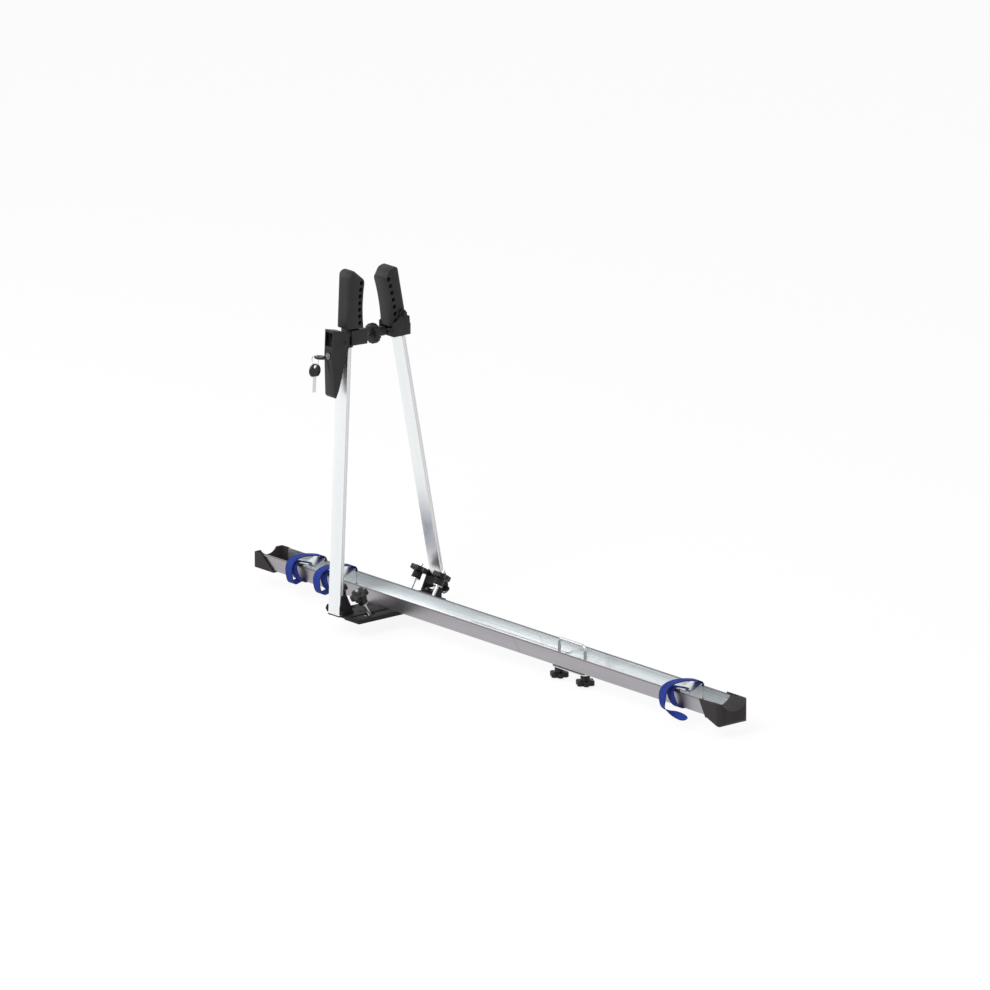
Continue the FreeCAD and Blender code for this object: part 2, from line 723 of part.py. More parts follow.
def make_base():
    corners = [
        ("-base_half", "-base_near"),
        ("base_half", "-base_near"),
        ("base_half", "base_far - base_corner"),
        ("base_half - base_corner", "base_far"),
        (CHEEK_RIGHT, "base_far"),
        (CHEEK_RIGHT, "tongue_far"),
        (CHEEK_LEFT, "tongue_far"),
        (CHEEK_LEFT, "base_far"),
        ("-base_half", "base_far - base_corner"),
    ]
    slab = prism("base_slab", "xy", corners, "base_thick")
    rail_side = "(rail_width / 2 + strip_fit)"
    strips = [
        box("near_strip", ("strip_rear", "-cheek_inner", "base_thick"),
            ("strip_front - strip_rear", f"cheek_inner - {rail_side}", "strip_rise")),
        box("far_strip", ("strip_rear", rail_side, "base_thick"),
            ("strip_front - strip_rear", f"cheek_inner - {rail_side}", "strip_rise")),
        box("near_seat", (CHEEK_LEFT, "-base_near", "base_thick"),
            (f"strip_front - {CHEEK_LEFT}", "base_near - cheek_inner", "strip_rise")),
        box("far_seat", (CHEEK_LEFT, "cheek_inner", "base_thick"),
            (f"{CHEEK_RIGHT} - {CHEEK_LEFT}", "tongue_far - cheek_inner", "strip_rise")),
    ]
    plate = fuse("base_and_strips", slab, *strips)
    leg_room = "(wire_radius + slot_fit)"
    tools = [
        box("arm_notch", (f"{CHEEK_LEFT} - slot_fit", "-base_near - cut_near", "-cut_near"),
            (f"{CHEEK_RIGHT} - {CHEEK_LEFT} + 2 * slot_fit", "notch_deep + cut_near",
             "base_thick + strip_rise + 2 * cut_near")),
        box("pad_seat", ("-pad_half", "-pad_reach", "-cut_near"),
            ("2 * pad_half", "2 * pad_reach", "pad_thick + cut_near")),
    ]
    for side, place in (("near", "-near_leg_place"), ("far", "far_leg_place")):
        tools.append(base_pocket(f"{side}_bar_room", f"{side}_leg_rear - {leg_room}",
                                 f"{side}_leg_front + {leg_room}", f"{place} - slot_reach",
                                 f"{place} + slot_reach"))
        for hand, x in (("rear", f"{side}_leg_rear - {leg_room}"),
                        ("front", f"{side}_leg_front - bend_radius - {leg_room}")):
            tools.append(box(f"{side}_{hand}_slot", (x, f"{place} - slot_reach", "0"),
                             (f"bend_radius + 2 * {leg_room}",
                              "2 * slot_reach", "base_thick + strip_rise + cut_near")))
    for k, x in enumerate(RAIL_BOLTS):
        tools.append(upright_hole(f"base_bolt_hole_{k}", x, "0", "rail_bolt_radius + thread_fit",
                                  "-cut_near", "base_thick + 2 * cut_near"))
        tools.append(upright_hole(f"base_nut_room_{k}", x, "0", "nut_room_radius", "-cut_near",
                                  "base_thick - nut_skin + cut_near"))
    for k, (left, right) in enumerate((("-base_half + base_edge", "-pad_half - base_edge"),
                                       ("pad_half + base_edge", "base_half - base_edge"))):
        tools.append(base_pocket(f"near_hollow_{k}", left, right, "-pocket_far", "-pocket_near"))
        tools.append(base_pocket(f"far_hollow_{k}", left, right, "pocket_near", "pad_reach"))
    for k, y in enumerate(("-near_strip_hole", "far_strip_hole")):
        tools.append(upright_hole(f"strip_hole_{k}", "strip_hole_place", y, "strip_hole_radius",
                                  "-cut_near", "base_thick + cut_past"))
    for k, (x, y) in enumerate(BRACKET_BOLTS):
        tools.append(upright_hole(f"bracket_bolt_hole_{k}", x, y, "bracket_bolt_radius + thread_fit",
                                  "-cut_near", "base_thick + cut_past"))
    part("base_plate", cut("base_plate", plate, *tools))
    part("base_pad", box("base_pad", ("-pad_half + pad_fit", "-pad_reach + pad_fit", "0"),
                         ("2 * pad_half - 2 * pad_fit", "2 * pad_reach - 2 * pad_fit", "pad_thick")))


BRACKET_BOLTS = [(x, y) for y in ("-bracket_bolt_place", "bracket_bolt_place")
                 for x in ("arm_centre - bracket_bolt_spread", "arm_centre + bracket_bolt_spread")]


def make_base_bolts():
    floor = "(base_thick + rail_floor)"
    low = "(base_thick - nut_skin - rail_nut_thick)"
    bolts = []
    nuts = []
    for k, x in enumerate(RAIL_BOLTS):
        shank = cylinder(f"rail_bolt_shank_{k}", (x, "0", f"{low} + rail_bolt_short"), "z",
                         "rail_bolt_radius", f"{floor} - {low} - rail_bolt_short")
        head = drive(doc.addObject("Part::Cone", f"rail_bolt_head_{k}"),
                     Radius1="2.3 * rail_bolt_radius", Radius2="1.4 * rail_bolt_radius",
                     Height="0.8 * rail_bolt_radius")
        put(head, (x, "0", floor))
        bolts.append(fuse(f"rail_bolt_{k}", shank, head))
        nuts.append(hex_nut(f"rail_nut_{k}", (x, "0", low), "z", "1.9 * rail_bolt_radius",
                            "rail_nut_thick", "rail_bolt_radius + thread_fit"))
    part("rail_bolts", compound("rail_bolts", *bolts))
    part("rail_bolt_nuts", compound("rail_bolt_nuts", *nuts))


# arm brackets and their bolts


def edge_slope(z):
    """How far out the bracket's sloping inner edge lies at a height."""
    return (f"(cheek_inner + ({z} - {SEAT}) * (cheek_top_inner - cheek_inner)"
            f" / (cheek_top - {SEAT}))")


def make_bracket(node, sign):
    s = "-" if sign < 0 else ""
    cheek = [
        (f"{s}cheek_inner", SEAT),
        (f"{s}cheek_outer", SEAT),
        (f"{s}cheek_outer", "pivot_height + cheek_shoulder"),
        (f"{s}cheek_top_outer", "cheek_top"),
        (f"{s}cheek_top_inner", "cheek_top"),
    ]
    low_cheek = [
        (f"{s}low_cheek_inner", SEAT),
        (f"{s}cheek_outer", SEAT),
        (f"{s}cheek_outer", "pivot_height + cheek_shoulder"),
        (f"{s}low_cheek_inner", "pivot_height + cheek_shoulder"),
    ]
    rear_cheek = low_cheek if sign < 0 else cheek
    left = prism(node + "_rear_cheek", "yz", rear_cheek, "cheek_thick", (CHEEK_LEFT, "0", "0"))
    right = prism(node + "_front_cheek", "yz", cheek, "cheek_thick",
                  (f"{CHEEK_RIGHT} - cheek_thick", "0", "0"))
    low, high = edge_slope("web_low"), edge_slope("web_high")
    web_points = [
        (f"{s}({low} + web_set)", "web_low"),
        (f"{s}({low} + web_set + web_thick)", "web_low"),
        (f"{s}({high} + web_set + web_thick)", "web_high"),
        (f"{s}({high} + web_set)", "web_high"),
    ]
    web_start = "near_web_start" if sign < 0 else CHEEK_LEFT
    web = prism(node + "_web", "yz", web_points, f"{CHEEK_RIGHT} - {web_start}", (web_start, "0", "0"))
    start = "-cheek_inner - flange_long" if sign < 0 else "cheek_inner"
    floor = box(node + "_floor", (CHEEK_LEFT, start, SEAT),
                (f"{CHEEK_RIGHT} - {CHEEK_LEFT}", "flange_long", "flange_thick"))
    holes = [cylinder(node + "_pivot_hole", (f"{CHEEK_LEFT} - cut_near", f"{s}pivot_spread / 2",
                                             "pivot_height"),
                      "x", "pivot_radius + thread_fit", f"{CHEEK_RIGHT} - {CHEEK_LEFT} + 2 * cut_near")]
    for k, (x, y) in enumerate(BRACKET_BOLTS):
        if y.startswith("-") == (sign < 0):
            holes.append(upright_hole(f"{node}_bolt_hole_{k}", x, y, "bracket_bolt_radius + thread_fit",
                                      "base_thick", "flange_thick + strip_rise + cut_near"))
    part(node, cut(node, fuse(node + "_body", left, right, web, floor), *holes))


def make_bracket_bolts():
    bolts = []
    for k, (x, y) in enumerate(BRACKET_BOLTS):
        top = f"({SEAT} + flange_thick)"
        shank = cylinder(f"bracket_bolt_shank_{k}", (x, y, "base_thick - base_skin"), "z",
                         "bracket_bolt_radius", f"{top} - base_thick + base_skin")
        head = cylinder(f"bracket_bolt_head_{k}", (x, y, top), "z", "1.8 * bracket_bolt_radius",
                        "bracket_bolt_radius")
        bolts.append(fuse(f"bracket_bolt_{k}", shank, head))
    part("bracket_bolts", compound("bracket_bolts", *bolts))


def make_pivots():
    nuts = []
    for side, s in (("near", "-"), ("far", "")):
        y = f"{s}pivot_spread / 2"
        shank = cylinder(f"{side}_pivot_shank", (CHEEK_LEFT, y, "pivot_height"), "x", "pivot_radius",
                         f"{CHEEK_RIGHT} - {CHEEK_LEFT} + pivot_nut_thick + pivot_bolt_past")
        head = hex_nut(f"{side}_pivot_head", (f"{CHEEK_LEFT} - pivot_head_thick", y, "pivot_height"),
                       "x", "2 * pivot_radius", "pivot_head_thick", None)
        part(f"{side}_pivot_bolt", fuse(f"{side}_pivot_bolt", shank, head))
        nuts.append(hex_nut(f"{side}_pivot_nut", (CHEEK_RIGHT, y, "pivot_height"), "x",
                            "2 * pivot_radius", "pivot_nut_thick", "pivot_radius + thread_fit"))
    part("pivot_nuts", compound("pivot_nuts", *nuts))


# arms, drawn upright about their pivots and then leaned


def make_arm(side, top, lean):
    width = "arm_width"
    tube = box(f"{side}_arm_block", ("arm_centre - arm_width / 2", "-arm_thick / 2", "-arm_heel"),
               (width, "arm_thick", f"{top} + arm_heel"))
    tube = rounded(f"{side}_arm_round", tube, "arm_corner", vertical_edge)
    tools = [
        box(f"{side}_arm_bore", ("arm_centre - arm_width / 2 + arm_side_wall",
                                 "-arm_thick / 2 + arm_wall", "-arm_heel - cut_near"),
            ("arm_width - 2 * arm_side_wall", "arm_thick - 2 * arm_wall",
             f"{top} + arm_heel + 2 * cut_near")),
        box(f"{side}_rear_groove", ("arm_centre - arm_width / 2 - cut_near", "-arm_groove_half",
                                    "-arm_heel - cut_near"),
            ("arm_groove + cut_near", "2 * arm_groove_half", f"{top} + arm_heel + 2 * cut_near")),
        box(f"{side}_front_groove", ("arm_centre + arm_width / 2 - arm_groove", "-arm_groove_half",
                                     "-arm_heel - cut_near"),
            ("arm_groove + cut_near", "2 * arm_groove_half", f"{top} + arm_heel + 2 * cut_near")),
        cylinder(f"{side}_arm_pivot_hole", ("arm_centre - arm_width / 2 - cut_near", "0", "0"), "x",
                 "pivot_radius + thread_fit", "arm_width + 2 * cut_near"),
    ]
    part(f"{side}_arm", lean(cut(f"{side}_arm", tube, *tools)))
    cap = box(f"{side}_foot_cap", ("arm_centre - arm_width / 2", "-arm_thick / 2",
                                   "-arm_heel - foot_drop"),
              (width, "arm_thick", "foot_drop"))
    cap = rounded(f"{side}_foot_round", cap, "foot_corner", lambda edge: edge.CenterOfMass.z <
                  -size("arm_heel") - size("foot_drop") + 0.1)
    plug = box(f"{side}_foot_plug", ("arm_centre - arm_width / 2 + arm_side_wall + plug_fit",
                                     "-arm_thick / 2 + arm_wall + plug_fit", "-arm_heel - 1"),
               ("arm_width - 2 * arm_side_wall - 2 * plug_fit", "arm_thick - 2 * arm_wall - 2 * plug_fit",
                "foot_plug + 1"))
    part(f"{side}_arm_foot", lean(fuse(f"{side}_arm_foot", cap, plug)))


def make_arms():
    make_arm("near", "near_arm_top", in_near_arm)
    make_arm("far", "far_arm_top", in_far_arm)


# rod, barrels, adjuster

def make_rod():
    start = "near_barrel_y - rod_tail"
    part("clamp_rod", cylinder("clamp_rod", ("arm_centre", start, "rod_z"), "y", "rod_radius",
                               f"(far_barrel_y + barrel_radius + rod_past_barrel) - ({start})"))
    part("rod_nut", hex_nut("rod_nut", ("arm_centre", "near_barrel_y - barrel_radius - rod_nut_thick"
                                        " - rod_nut_gap", "rod_z"), "y", "rod_nut_radius", "rod_nut_thick",
                            "rod_radius + thread_fit"))
    body = cylinder("near_barrel_body", ("arm_centre - near_barrel_half", "near_barrel_y", "rod_z"), "x",
                    "barrel_radius", "2 * near_barrel_half")
    stubs = cylinder("near_barrel_stubs", ("arm_centre - near_stub_half", "near_barrel_y", "rod_z"), "x",
                     "stub_radius", "2 * near_stub_half")
    bore = cylinder("near_barrel_bore", ("arm_centre", "near_barrel_y - 2 * barrel_radius", "rod_z"), "y",
                    "rod_radius + thread_fit", "4 * barrel_radius")
    part("lever_barrel", cut("lever_barrel", fuse("near_barrel_solid", body, stubs), bore))
    half = "(jaw_wide / 2 + jaw_side_fit)"
    body = cylinder("far_barrel_body", (f"arm_centre - {half} + barrel_side_fit", "far_barrel_y", "rod_z"),
                    "x", "barrel_radius", f"2 * {half} - 2 * barrel_side_fit")
    stubs = cylinder("far_barrel_stubs", (f"arm_centre - {half} - cheek_thick", "far_barrel_y", "rod_z"),
                     "x", "stub_radius", f"2 * {half} + 2 * cheek_thick")
    bore = cylinder("far_barrel_bore", ("arm_centre", "far_barrel_y - 2 * barrel_radius", "rod_z"), "y",
                    "rod_radius + barrel_slack", "4 * barrel_radius")
    part("far_barrel", cut("far_barrel", fuse("far_barrel_solid", body, stubs), bore))


def make_adjuster():
    start = "(near_barrel_y + adjuster_place)"
    core = cylinder("adjuster_core", ("arm_centre", start, "rod_z"), "y", "adjuster_radius",
                    "adjuster_long")
    doc.recompute()
    ends = [edge for edge in core.Shape.Edges if isinstance(edge.Curve, Part.Circle)]
    core = rounded("adjuster_round", core, "adjuster_bevel", lambda edge: any(
        edge.isSame(end) for end in ends))
    ribs = []
    count = int(size("adjuster_ribs"))
    for k in range(count):
        angle = f"{k} * 360 / adjuster_ribs"
        ribs.append(cylinder(f"adjuster_rib_{k}",
                             (f"arm_centre + adjuster_radius * cos({angle})", f"{start} + adjuster_bevel",
                              f"rod_z + adjuster_radius * sin({angle})"), "y", "rib_radius",
                             "adjuster_long - 2 * adjuster_bevel"))
    bore = cylinder("adjuster_bore", ("arm_centre", f"{start} - cut_near", "rod_z"), "y",
                    "rod_radius + barrel_slack", "adjuster_long + 2 * cut_near")
    part("adjuster_knob", cut("adjuster_knob", fuse("adjuster_body", core, *ribs), bore))
    sleeve = cylinder("sleeve_body", ("arm_centre", f"{start} + adjuster_long", "rod_z"), "y",
                      "sleeve_radius", "sleeve_long")
    bore = cylinder("sleeve_bore", ("arm_centre", f"{start} + adjuster_long - cut_near", "rod_z"),
                    "y", "rod_radius + barrel_slack", "sleeve_long + 2 * cut_near")
    part("adjuster_sleeve", cut("adjuster_sleeve", sleeve, bore))


# jaw brackets


def make_near_bracket():
    left = "arm_centre - arm_width / 2"
    back = "arm_thick / 2"
    block = box("near_box", (left, back, "box_low"),
                ("arm_width", f"box_reach - {back}", "box_high - box_low"))
    cap = box("near_box_cap", (left, "-arm_thick / 2", "near_arm_top"),
              ("arm_width", "arm_thick + box_wall", "near_cap_thick"))
    tongue = box("near_box_tongue", ("arm_centre - arm_width / 2 + arm_side_wall + plug_fit",
                                     "-arm_thick / 2 + arm_wall + plug_fit", "near_arm_top - tongue_long"),
                 ("arm_width - 2 * arm_side_wall - 2 * plug_fit",
                  "arm_thick - 2 * arm_wall - 2 * plug_fit", "tongue_long + 1"))
    neck = box("near_neck", ("arm_centre - neck_half", "neck_back", "box_high"),
               ("2 * neck_half", "neck_deep", "near_jaw_low - box_high"))
    peg = box("near_peg", ("arm_centre - peg_wide / 2", "peg_back", "box_high"),
              ("peg_wide", "peg_deep", "near_jaw_low - box_high + peg_height"))
    room = box("near_box_room", (f"{left} + box_wall", f"{back} + box_wall", "box_low - cut_near"),
               ("arm_width - 2 * box_wall", f"box_reach - {back} - 2 * box_wall",
                "box_high - box_low - box_wall + cut_near"))
    slot = box("near_rod_slot", ("arm_centre - rod_slot_wide", "-arm_thick",
                                 "near_arm_top + near_cap_thick"),
               ("2 * rod_slot_wide", "box_reach + arm_thick",
                "2 * (rod_height - near_arm_top - near_cap_thick)"))
    body = fuse("near_bracket_body", block, cap, tongue, neck, peg)
    part("near_jaw_bracket", in_near_arm(cut("near_jaw_bracket", body, room, slot)))


def make_far_bracket():
    half = "(jaw_wide / 2 + jaw_side_fit)"
    side = [
        ("far_box_inner", "far_box_low"),
        ("far_box_outer", "far_box_low"),
        ("far_box_outer - far_side_lean", "far_box_high - far_side_drop"),
        ("far_boss_y", "far_boss_z"),
        ("far_box_inner", "far_box_high - far_side_slope"),
    ]
    walls = []
    for hand, x in (("rear", f"arm_centre - {half} - cheek_thick"), ("front", f"arm_centre + {half}")):
        walls.append(prism(f"far_{hand}_wall", "yz", side, "cheek_thick", (x, "0", "0")))
        walls.append(cylinder(f"far_{hand}_boss", (x, "far_boss_y", "far_boss_z"), "x",
                              "far_boss_radius", "cheek_thick"))
    wide = f"2 * {half} + 2 * cheek_thick"
    left = f"arm_centre - {half} - cheek_thick"
    floor = box("far_floor", (left, "far_box_inner", "far_box_low"),
                (wide, "far_box_outer - far_box_inner", "far_wall"))
    back = box("far_back", (left, "far_box_outer - far_wall", "far_box_low"),
               (wide, "far_wall", "far_back_high"))
    lip = box("far_lip", (left, "far_box_inner", "far_box_low"), (wide, "far_wall", "far_lip_high"))
    tongue = box("far_tongue", ("arm_centre - arm_width / 2 + arm_side_wall + plug_fit",
                                "-arm_thick / 2 + arm_wall + plug_fit", "far_arm_top - tongue_long"),
                 ("arm_width - 2 * arm_side_wall - 2 * plug_fit",
                  "arm_thick - 2 * arm_wall - 2 * plug_fit", "tongue_long + far_tongue_rise"))
    leaned_tongue = in_far_arm(compound("far_tongue_leaned", tongue))
    tools = [
        box("far_rod_slot", ("arm_centre - rod_slot_wide", "far_box_inner - cut_near",
                             "rod_z - far_slot_half"),
            ("2 * rod_slot_wide", "far_box_outer - far_box_inner + 2 * cut_near",
             "2 * far_slot_half")),
        cylinder("far_stub_holes", (f"{left} - cut_near", "far_barrel_y", "rod_z"), "x",
                 "stub_radius + thread_fit", f"{wide} + 2 * cut_near"),
        cylinder("far_pin_holes", (f"{left} - cut_near", "far_boss_y", "far_boss_z"), "x",
                 "jaw_pin_radius + thread_fit", f"{wide} + 2 * cut_near"),
    ]
    body = fuse("far_bracket_body", *walls, floor, back, lip, leaned_tongue)
    part("far_jaw_bracket", cut("far_jaw_bracket", body, *tools))
    shank = cylinder("jaw_pin_shank", (left, "far_boss_y", "far_boss_z"), "x", "jaw_pin_radius",
                     f"{wide} + jaw_pin_past")
    head = cylinder("jaw_pin_head", (f"{left} - jaw_pin_head", "far_boss_y", "far_boss_z"), "x",
                    "1.8 * jaw_pin_radius", "jaw_pin_head")
    part("jaw_pivot_bolt", fuse("jaw_pivot_bolt", shank, head))
    part("jaw_pivot_nut", hex_nut("jaw_pivot_nut", (f"{left} + {wide}", "far_boss_y", "far_boss_z"), "x",
                                  "1.9 * jaw_pin_radius", "jaw_pin_past - 1",
                                  "jaw_pin_radius + thread_fit"))


# jaws


def make_jaw(node, sign, back, face, low, high, lean):
    """A padded jaw: a hollowed inner face, a rounded back and top, a row of holes."""
    s = "" if sign > 0 else "-"
    t = "-" if sign > 0 else ""
    points = [
        (f"{t}{back}", low),
        (f"{t}{back}", f"{high} - jaw_shoulder"),
        (f"{s}jaw_apex", high),
        (f"{s}{face}", f"{high} - jaw_slope"),
        (f"{s}{face}", low),
    ]
    block = prism(node + "_block", "yz", points, "jaw_wide", ("arm_centre - jaw_wide / 2", "0", "0"))
    inner = sign * size(face)
    bottom = size(low)

    def crown(edge):
        along_x = abs(edge.tangentAt(edge.FirstParameter).x) > 0.999
        centre = edge.CenterOfMass
        return along_x and centre.z > bottom + 1 and abs(centre.y - inner) > 1
    block = rounded(node + "_crown", block, "jaw_crown", crown)

    def rim(edge):
        centre = edge.CenterOfMass
        along_x = abs(edge.tangentAt(edge.FirstParameter).x) > 0.5
        return not along_x and centre.z > bottom + 1 and abs(centre.y - inner) > 1
    block = rounded(node + "_rim", block, "jaw_round", rim)
    chord = f"(({high} - jaw_slope - {low}) / 2)"
    middle = f"({low} + {chord})"
    sweep = f"(({chord} ^ 2 + jaw_hollow ^ 2) / (2 * jaw_hollow))"
    hollow = cylinder(node + "_hollow", ("arm_centre - jaw_wide", f"{s}({face} - jaw_hollow + {sweep})",
                                         middle), "x", sweep, "2 * jaw_wide")
    doc.recompute()
    tools = [hollow]
    count = int(size("jaw_holes"))
    for k in range(count):
        z = (f"({low} + jaw_hole_low + {k} * ({high} - {low} - jaw_hole_low - jaw_hole_high)"
             " / (jaw_holes - 1))")
        y = f"({face} - jaw_hole_inset - jaw_hollow * (1 - (({z} - {middle}) / {chord}) ^ 2))"
        tools.append(cylinder(f"{node}_hole_{k}", ("arm_centre - jaw_wide", f"{s}{y}", z), "x",
                              "jaw_hole_radius", "2 * jaw_wide"))
    if sign > 0:
        tools.append(box(node + "_peg_room", ("arm_centre - peg_wide / 2 - plug_fit", "peg_back - plug_fit",
                                              f"{low} - cut_near"),
                         ("peg_wide + 2 * plug_fit", "peg_deep + 2 * plug_fit",
                          "peg_height + plug_fit + cut_near")))
    result = lean(cut(node, block, *tools))
    if sign < 0:
        bore = cylinder(node + "_pin_bore", ("arm_centre - jaw_wide", "far_boss_y", "far_boss_z"), "x",
                        "jaw_pin_radius + thread_fit", "2 * jaw_wide")
        result = cut(node + "_bored", result, bore)
    part(node, result)


def make_jaws():
    make_jaw("near_jaw", 1, "near_jaw_back", "near_jaw_face", "near_jaw_low", "near_jaw_high", in_near_arm)
    make_jaw("far_jaw", -1, "far_jaw_back", "far_jaw_face", "far_jaw_low", "far_jaw_high", in_far_arm)


# lever, lock and keys


def lever_body(name, inset):
    """The lever's tapered form; an inset gives the room inside it."""
    side = [
        (f"-lever_front + {inset}", f"lever_top - {inset}"),
        (f"-lever_front + {inset}", "lever_bend"),
        (f"-lever_foot + {inset}", f"lever_low + toe_rise + {inset}"),
        (f"-lever_foot + toe_deep + {inset} / 2", f"lever_low + {inset}"),
        (f"-lever_foot + heel_deep - {inset} / 2", f"lever_low + heel_rise + {inset}"),
        (f"-lever_tail_back + {inset} / 4", f"lever_low + tail_rise + {inset}"),
        (f"-lever_grip_back + {inset} / 4", "lever_low + grip_rise"),
        (f"-lever_back + {inset} / 4", "lever_bend + grip_top"),
        (f"-lever_back + {inset} / 4", f"lever_top - lever_top_slope - {inset}"),
    ]
    block = prism(name + "_side", "yz", side, "lever_wide", ("arm_centre - lever_wide / 2", "0", "0"))
    deep = "(lever_front - lever_back)"
    tall = "(lever_top - lever_low)"
    plan = [
        (f"arm_centre - lever_face / 2 + {inset}", "-lever_front"),
        (f"arm_centre + lever_face / 2 - {inset}", "-lever_front"),
        (f"arm_centre + lever_wide / 2 - {inset}", f"-lever_front + {deep} + cut_near"),
        (f"arm_centre - lever_wide / 2 + {inset}", f"-lever_front + {deep} + cut_near"),
    ]
    drafted = prism(name + "_plan", "xy", plan, f"{tall} + 4 * cut_past",
                    ("0", "0", "lever_low - 2 * cut_past"))
    front = [
        (f"arm_centre - lever_wide / 2 + {inset}", "lever_top + 2 * cut_past"),
        (f"arm_centre - lever_wide / 2 + {inset}", "lever_bend"),
        (f"arm_centre - lever_tail_wide / 2 + {inset}", "lever_low - 2 * cut_past"),
        (f"arm_centre + lever_tail_wide / 2 - {inset}", "lever_low - 2 * cut_past"),
        (f"arm_centre + lever_wide / 2 - {inset}", "lever_bend"),
        (f"arm_centre + lever_wide / 2 - {inset}", "lever_top + 2 * cut_past"),
    ]
    tapered = prism(name + "_front", "xz", front, "lever_front + 4 * cut_past",
                    ("0", "2 * cut_past", "0"))
    return common(name + "_drafted", common(name + "_tapered", block, tapered), drafted)


def make_lever():
    outside = lever_body("lever", "0")
    inside = lever_body("lever_room", "lever_wall")
    window = box("lever_window", ("arm_centre - lever_window_half", "-lever_front - cut_near",
                                  "lever_window_low"),
                 ("2 * lever_window_half", "lever_wall + 4 * cut_near",
                  "lever_window_high - lever_window_low"))
    pivot = cylinder("lever_pivot_holes", ("arm_centre - lever_wide", "-barrel_back", "rod_height"), "x",
                     "stub_radius + thread_fit", "2 * lever_wide")
    lock = cylinder("lever_lock_hole", ("arm_centre", "-lever_front - cut_near", "lock_height"), "y",
                    "lock_radius + plug_fit", "lever_wall + 4 * cut_near")
    roof_slot = box("lever_roof_slot", ("arm_centre - rod_slot_wide", "-barrel_back", "rod_height"),
                    ("2 * rod_slot_wide", "barrel_back", "lever_top - rod_height"))
    part("lock_lever", in_near_arm(cut("lock_lever", outside, inside, window, pivot, lock, roof_slot)))


def make_lock():
    start = "(-lever_front - lock_proud)"
    barrel = cylinder("lock_body", ("arm_centre", start, "lock_height"), "y", "lock_radius", "lock_long")
    keyway = box("keyway", ("arm_centre - key_shank / 2 - plug_fit", f"{start} - cut_near",
                            "lock_height - key_thick / 2 - plug_fit"),
                 ("key_shank + 2 * plug_fit", "key_deep + plug_fit + cut_near", "key_thick + 2 * plug_fit"))
    part("lock_cylinder", in_near_arm(cut("lock_cylinder", barrel, keyway)))
    bow_y = f"({start} - key_reach)"
    bow = cylinder("key_bow", ("arm_centre", bow_y, "lock_height - key_bow_thick / 2"), "z",
                   "key_bow_radius", "key_bow_thick")
    blade = box("key_blade", ("arm_centre - key_shank / 2", bow_y, "lock_height - key_thick / 2"),
                ("key_shank", "key_reach + key_deep", "key_thick"))
    eye_y = f"({bow_y} - key_eye_out)"
    eye = cylinder("key_eye", ("arm_centre", eye_y, "lock_height - cut_past"), "z", "key_eye_radius",
                   "2 * cut_past")
    part("lock_key", in_near_arm(cut("lock_key", fuse("key_body", bow, blade), eye)))
    ring_x = "(arm_centre - ring_side)"
    ring = drive(doc.addObject("Part::Torus", "key_ring"), Radius1="ring_radius", Radius2="ring_wire")
    ring.Placement = Placement(Vector(), Rotation(Vector(1, 0, 0), 90))
    for letter, text in zip("xyz", (ring_x, eye_y, "lock_height - ring_drop")):
        ring.setExpression("Placement.Base." + letter, formula(text))
    part("key_ring", in_near_arm(compound("key_ring_placed", ring)))
    low = "(lock_height - ring_drop - ring_radius - key_eye_radius + ring_wire + seat_fit)"
    centre = f"({low} - spare_bow_radius + spare_eye_inset)"
    bow = cylinder("spare_bow", (f"{ring_x} - key_bow_thick / 2", eye_y, centre), "x",
                   "spare_bow_radius", "key_bow_thick")
    blade = box("spare_blade", (f"{ring_x} - key_thick / 2", f"{eye_y} - key_shank / 2",
                                f"{centre} - spare_reach"),
                ("key_thick", "key_shank", "spare_reach"))
    eye = cylinder("spare_eye", (f"{ring_x} - cut_past", eye_y, low), "x", "key_eye_radius",
                   "2 * cut_past")
    part("spare_key", in_near_arm(cut("spare_key", fuse("spare_body", bow, blade), eye)))


# threaded clamps

CORNERS = {
    ("low", 1): Rotation(Vector(0, 0, -1), Vector(1, 0, 0), Vector(0, -1, 0), "XYZ"),
    ("low", -1): Rotation(Vector(-1, 0, 0), Vector(0, 0, -1), Vector(0, -1, 0), "XYZ"),
    ("high", 1): Rotation(Vector(1, 0, 0), Vector(0, 0, 1), Vector(0, -1, 0), "XYZ"),
    ("high", -1): Rotation(Vector(0, 0, 1), Vector(-1, 0, 0), Vector(0, -1, 0), "XYZ"),
}


def u_bolt(name, rear_leg, front_leg, wire, bend, cross, tip, kind):
    """A bent wire: two legs along Z joined by a cross bar along X at one end."""
    up = kind == "low"
    corner_z = f"({cross} + {bend})" if up else f"({cross} - {bend})"
    low, high = (corner_z, tip) if up else (tip, corner_z)
    pieces = [cylinder(name + "_rear_leg", (rear_leg, "0", low), "z", wire, f"{high} - ({low})"),
              cylinder(name + "_front_leg", (front_leg, "0", low), "z", wire, f"{high} - ({low})"),
              cylinder(name + "_bar", (f"{rear_leg} + {bend}", "0", cross), "x", wire,
                       f"{front_leg} - ({rear_leg}) - 2 * {bend}")]
    for hand, leg, inward in ((-1, rear_leg, "+"), (1, front_leg, "-")):
        elbow = drive(doc.addObject("Part::Torus", f"{name}_elbow_{hand + 1}"), Radius1=bend, Radius2=wire,
                      Angle3="90")
        elbow.Placement = Placement(Vector(), CORNERS[kind, hand])
        for letter, text in zip("xyz", (f"{leg} {inward} {bend}", "0", corner_z)):
            elbow.setExpression("Placement.Base." + letter, formula(text))
        pieces.append(elbow)
    return fuse(name, *pieces)


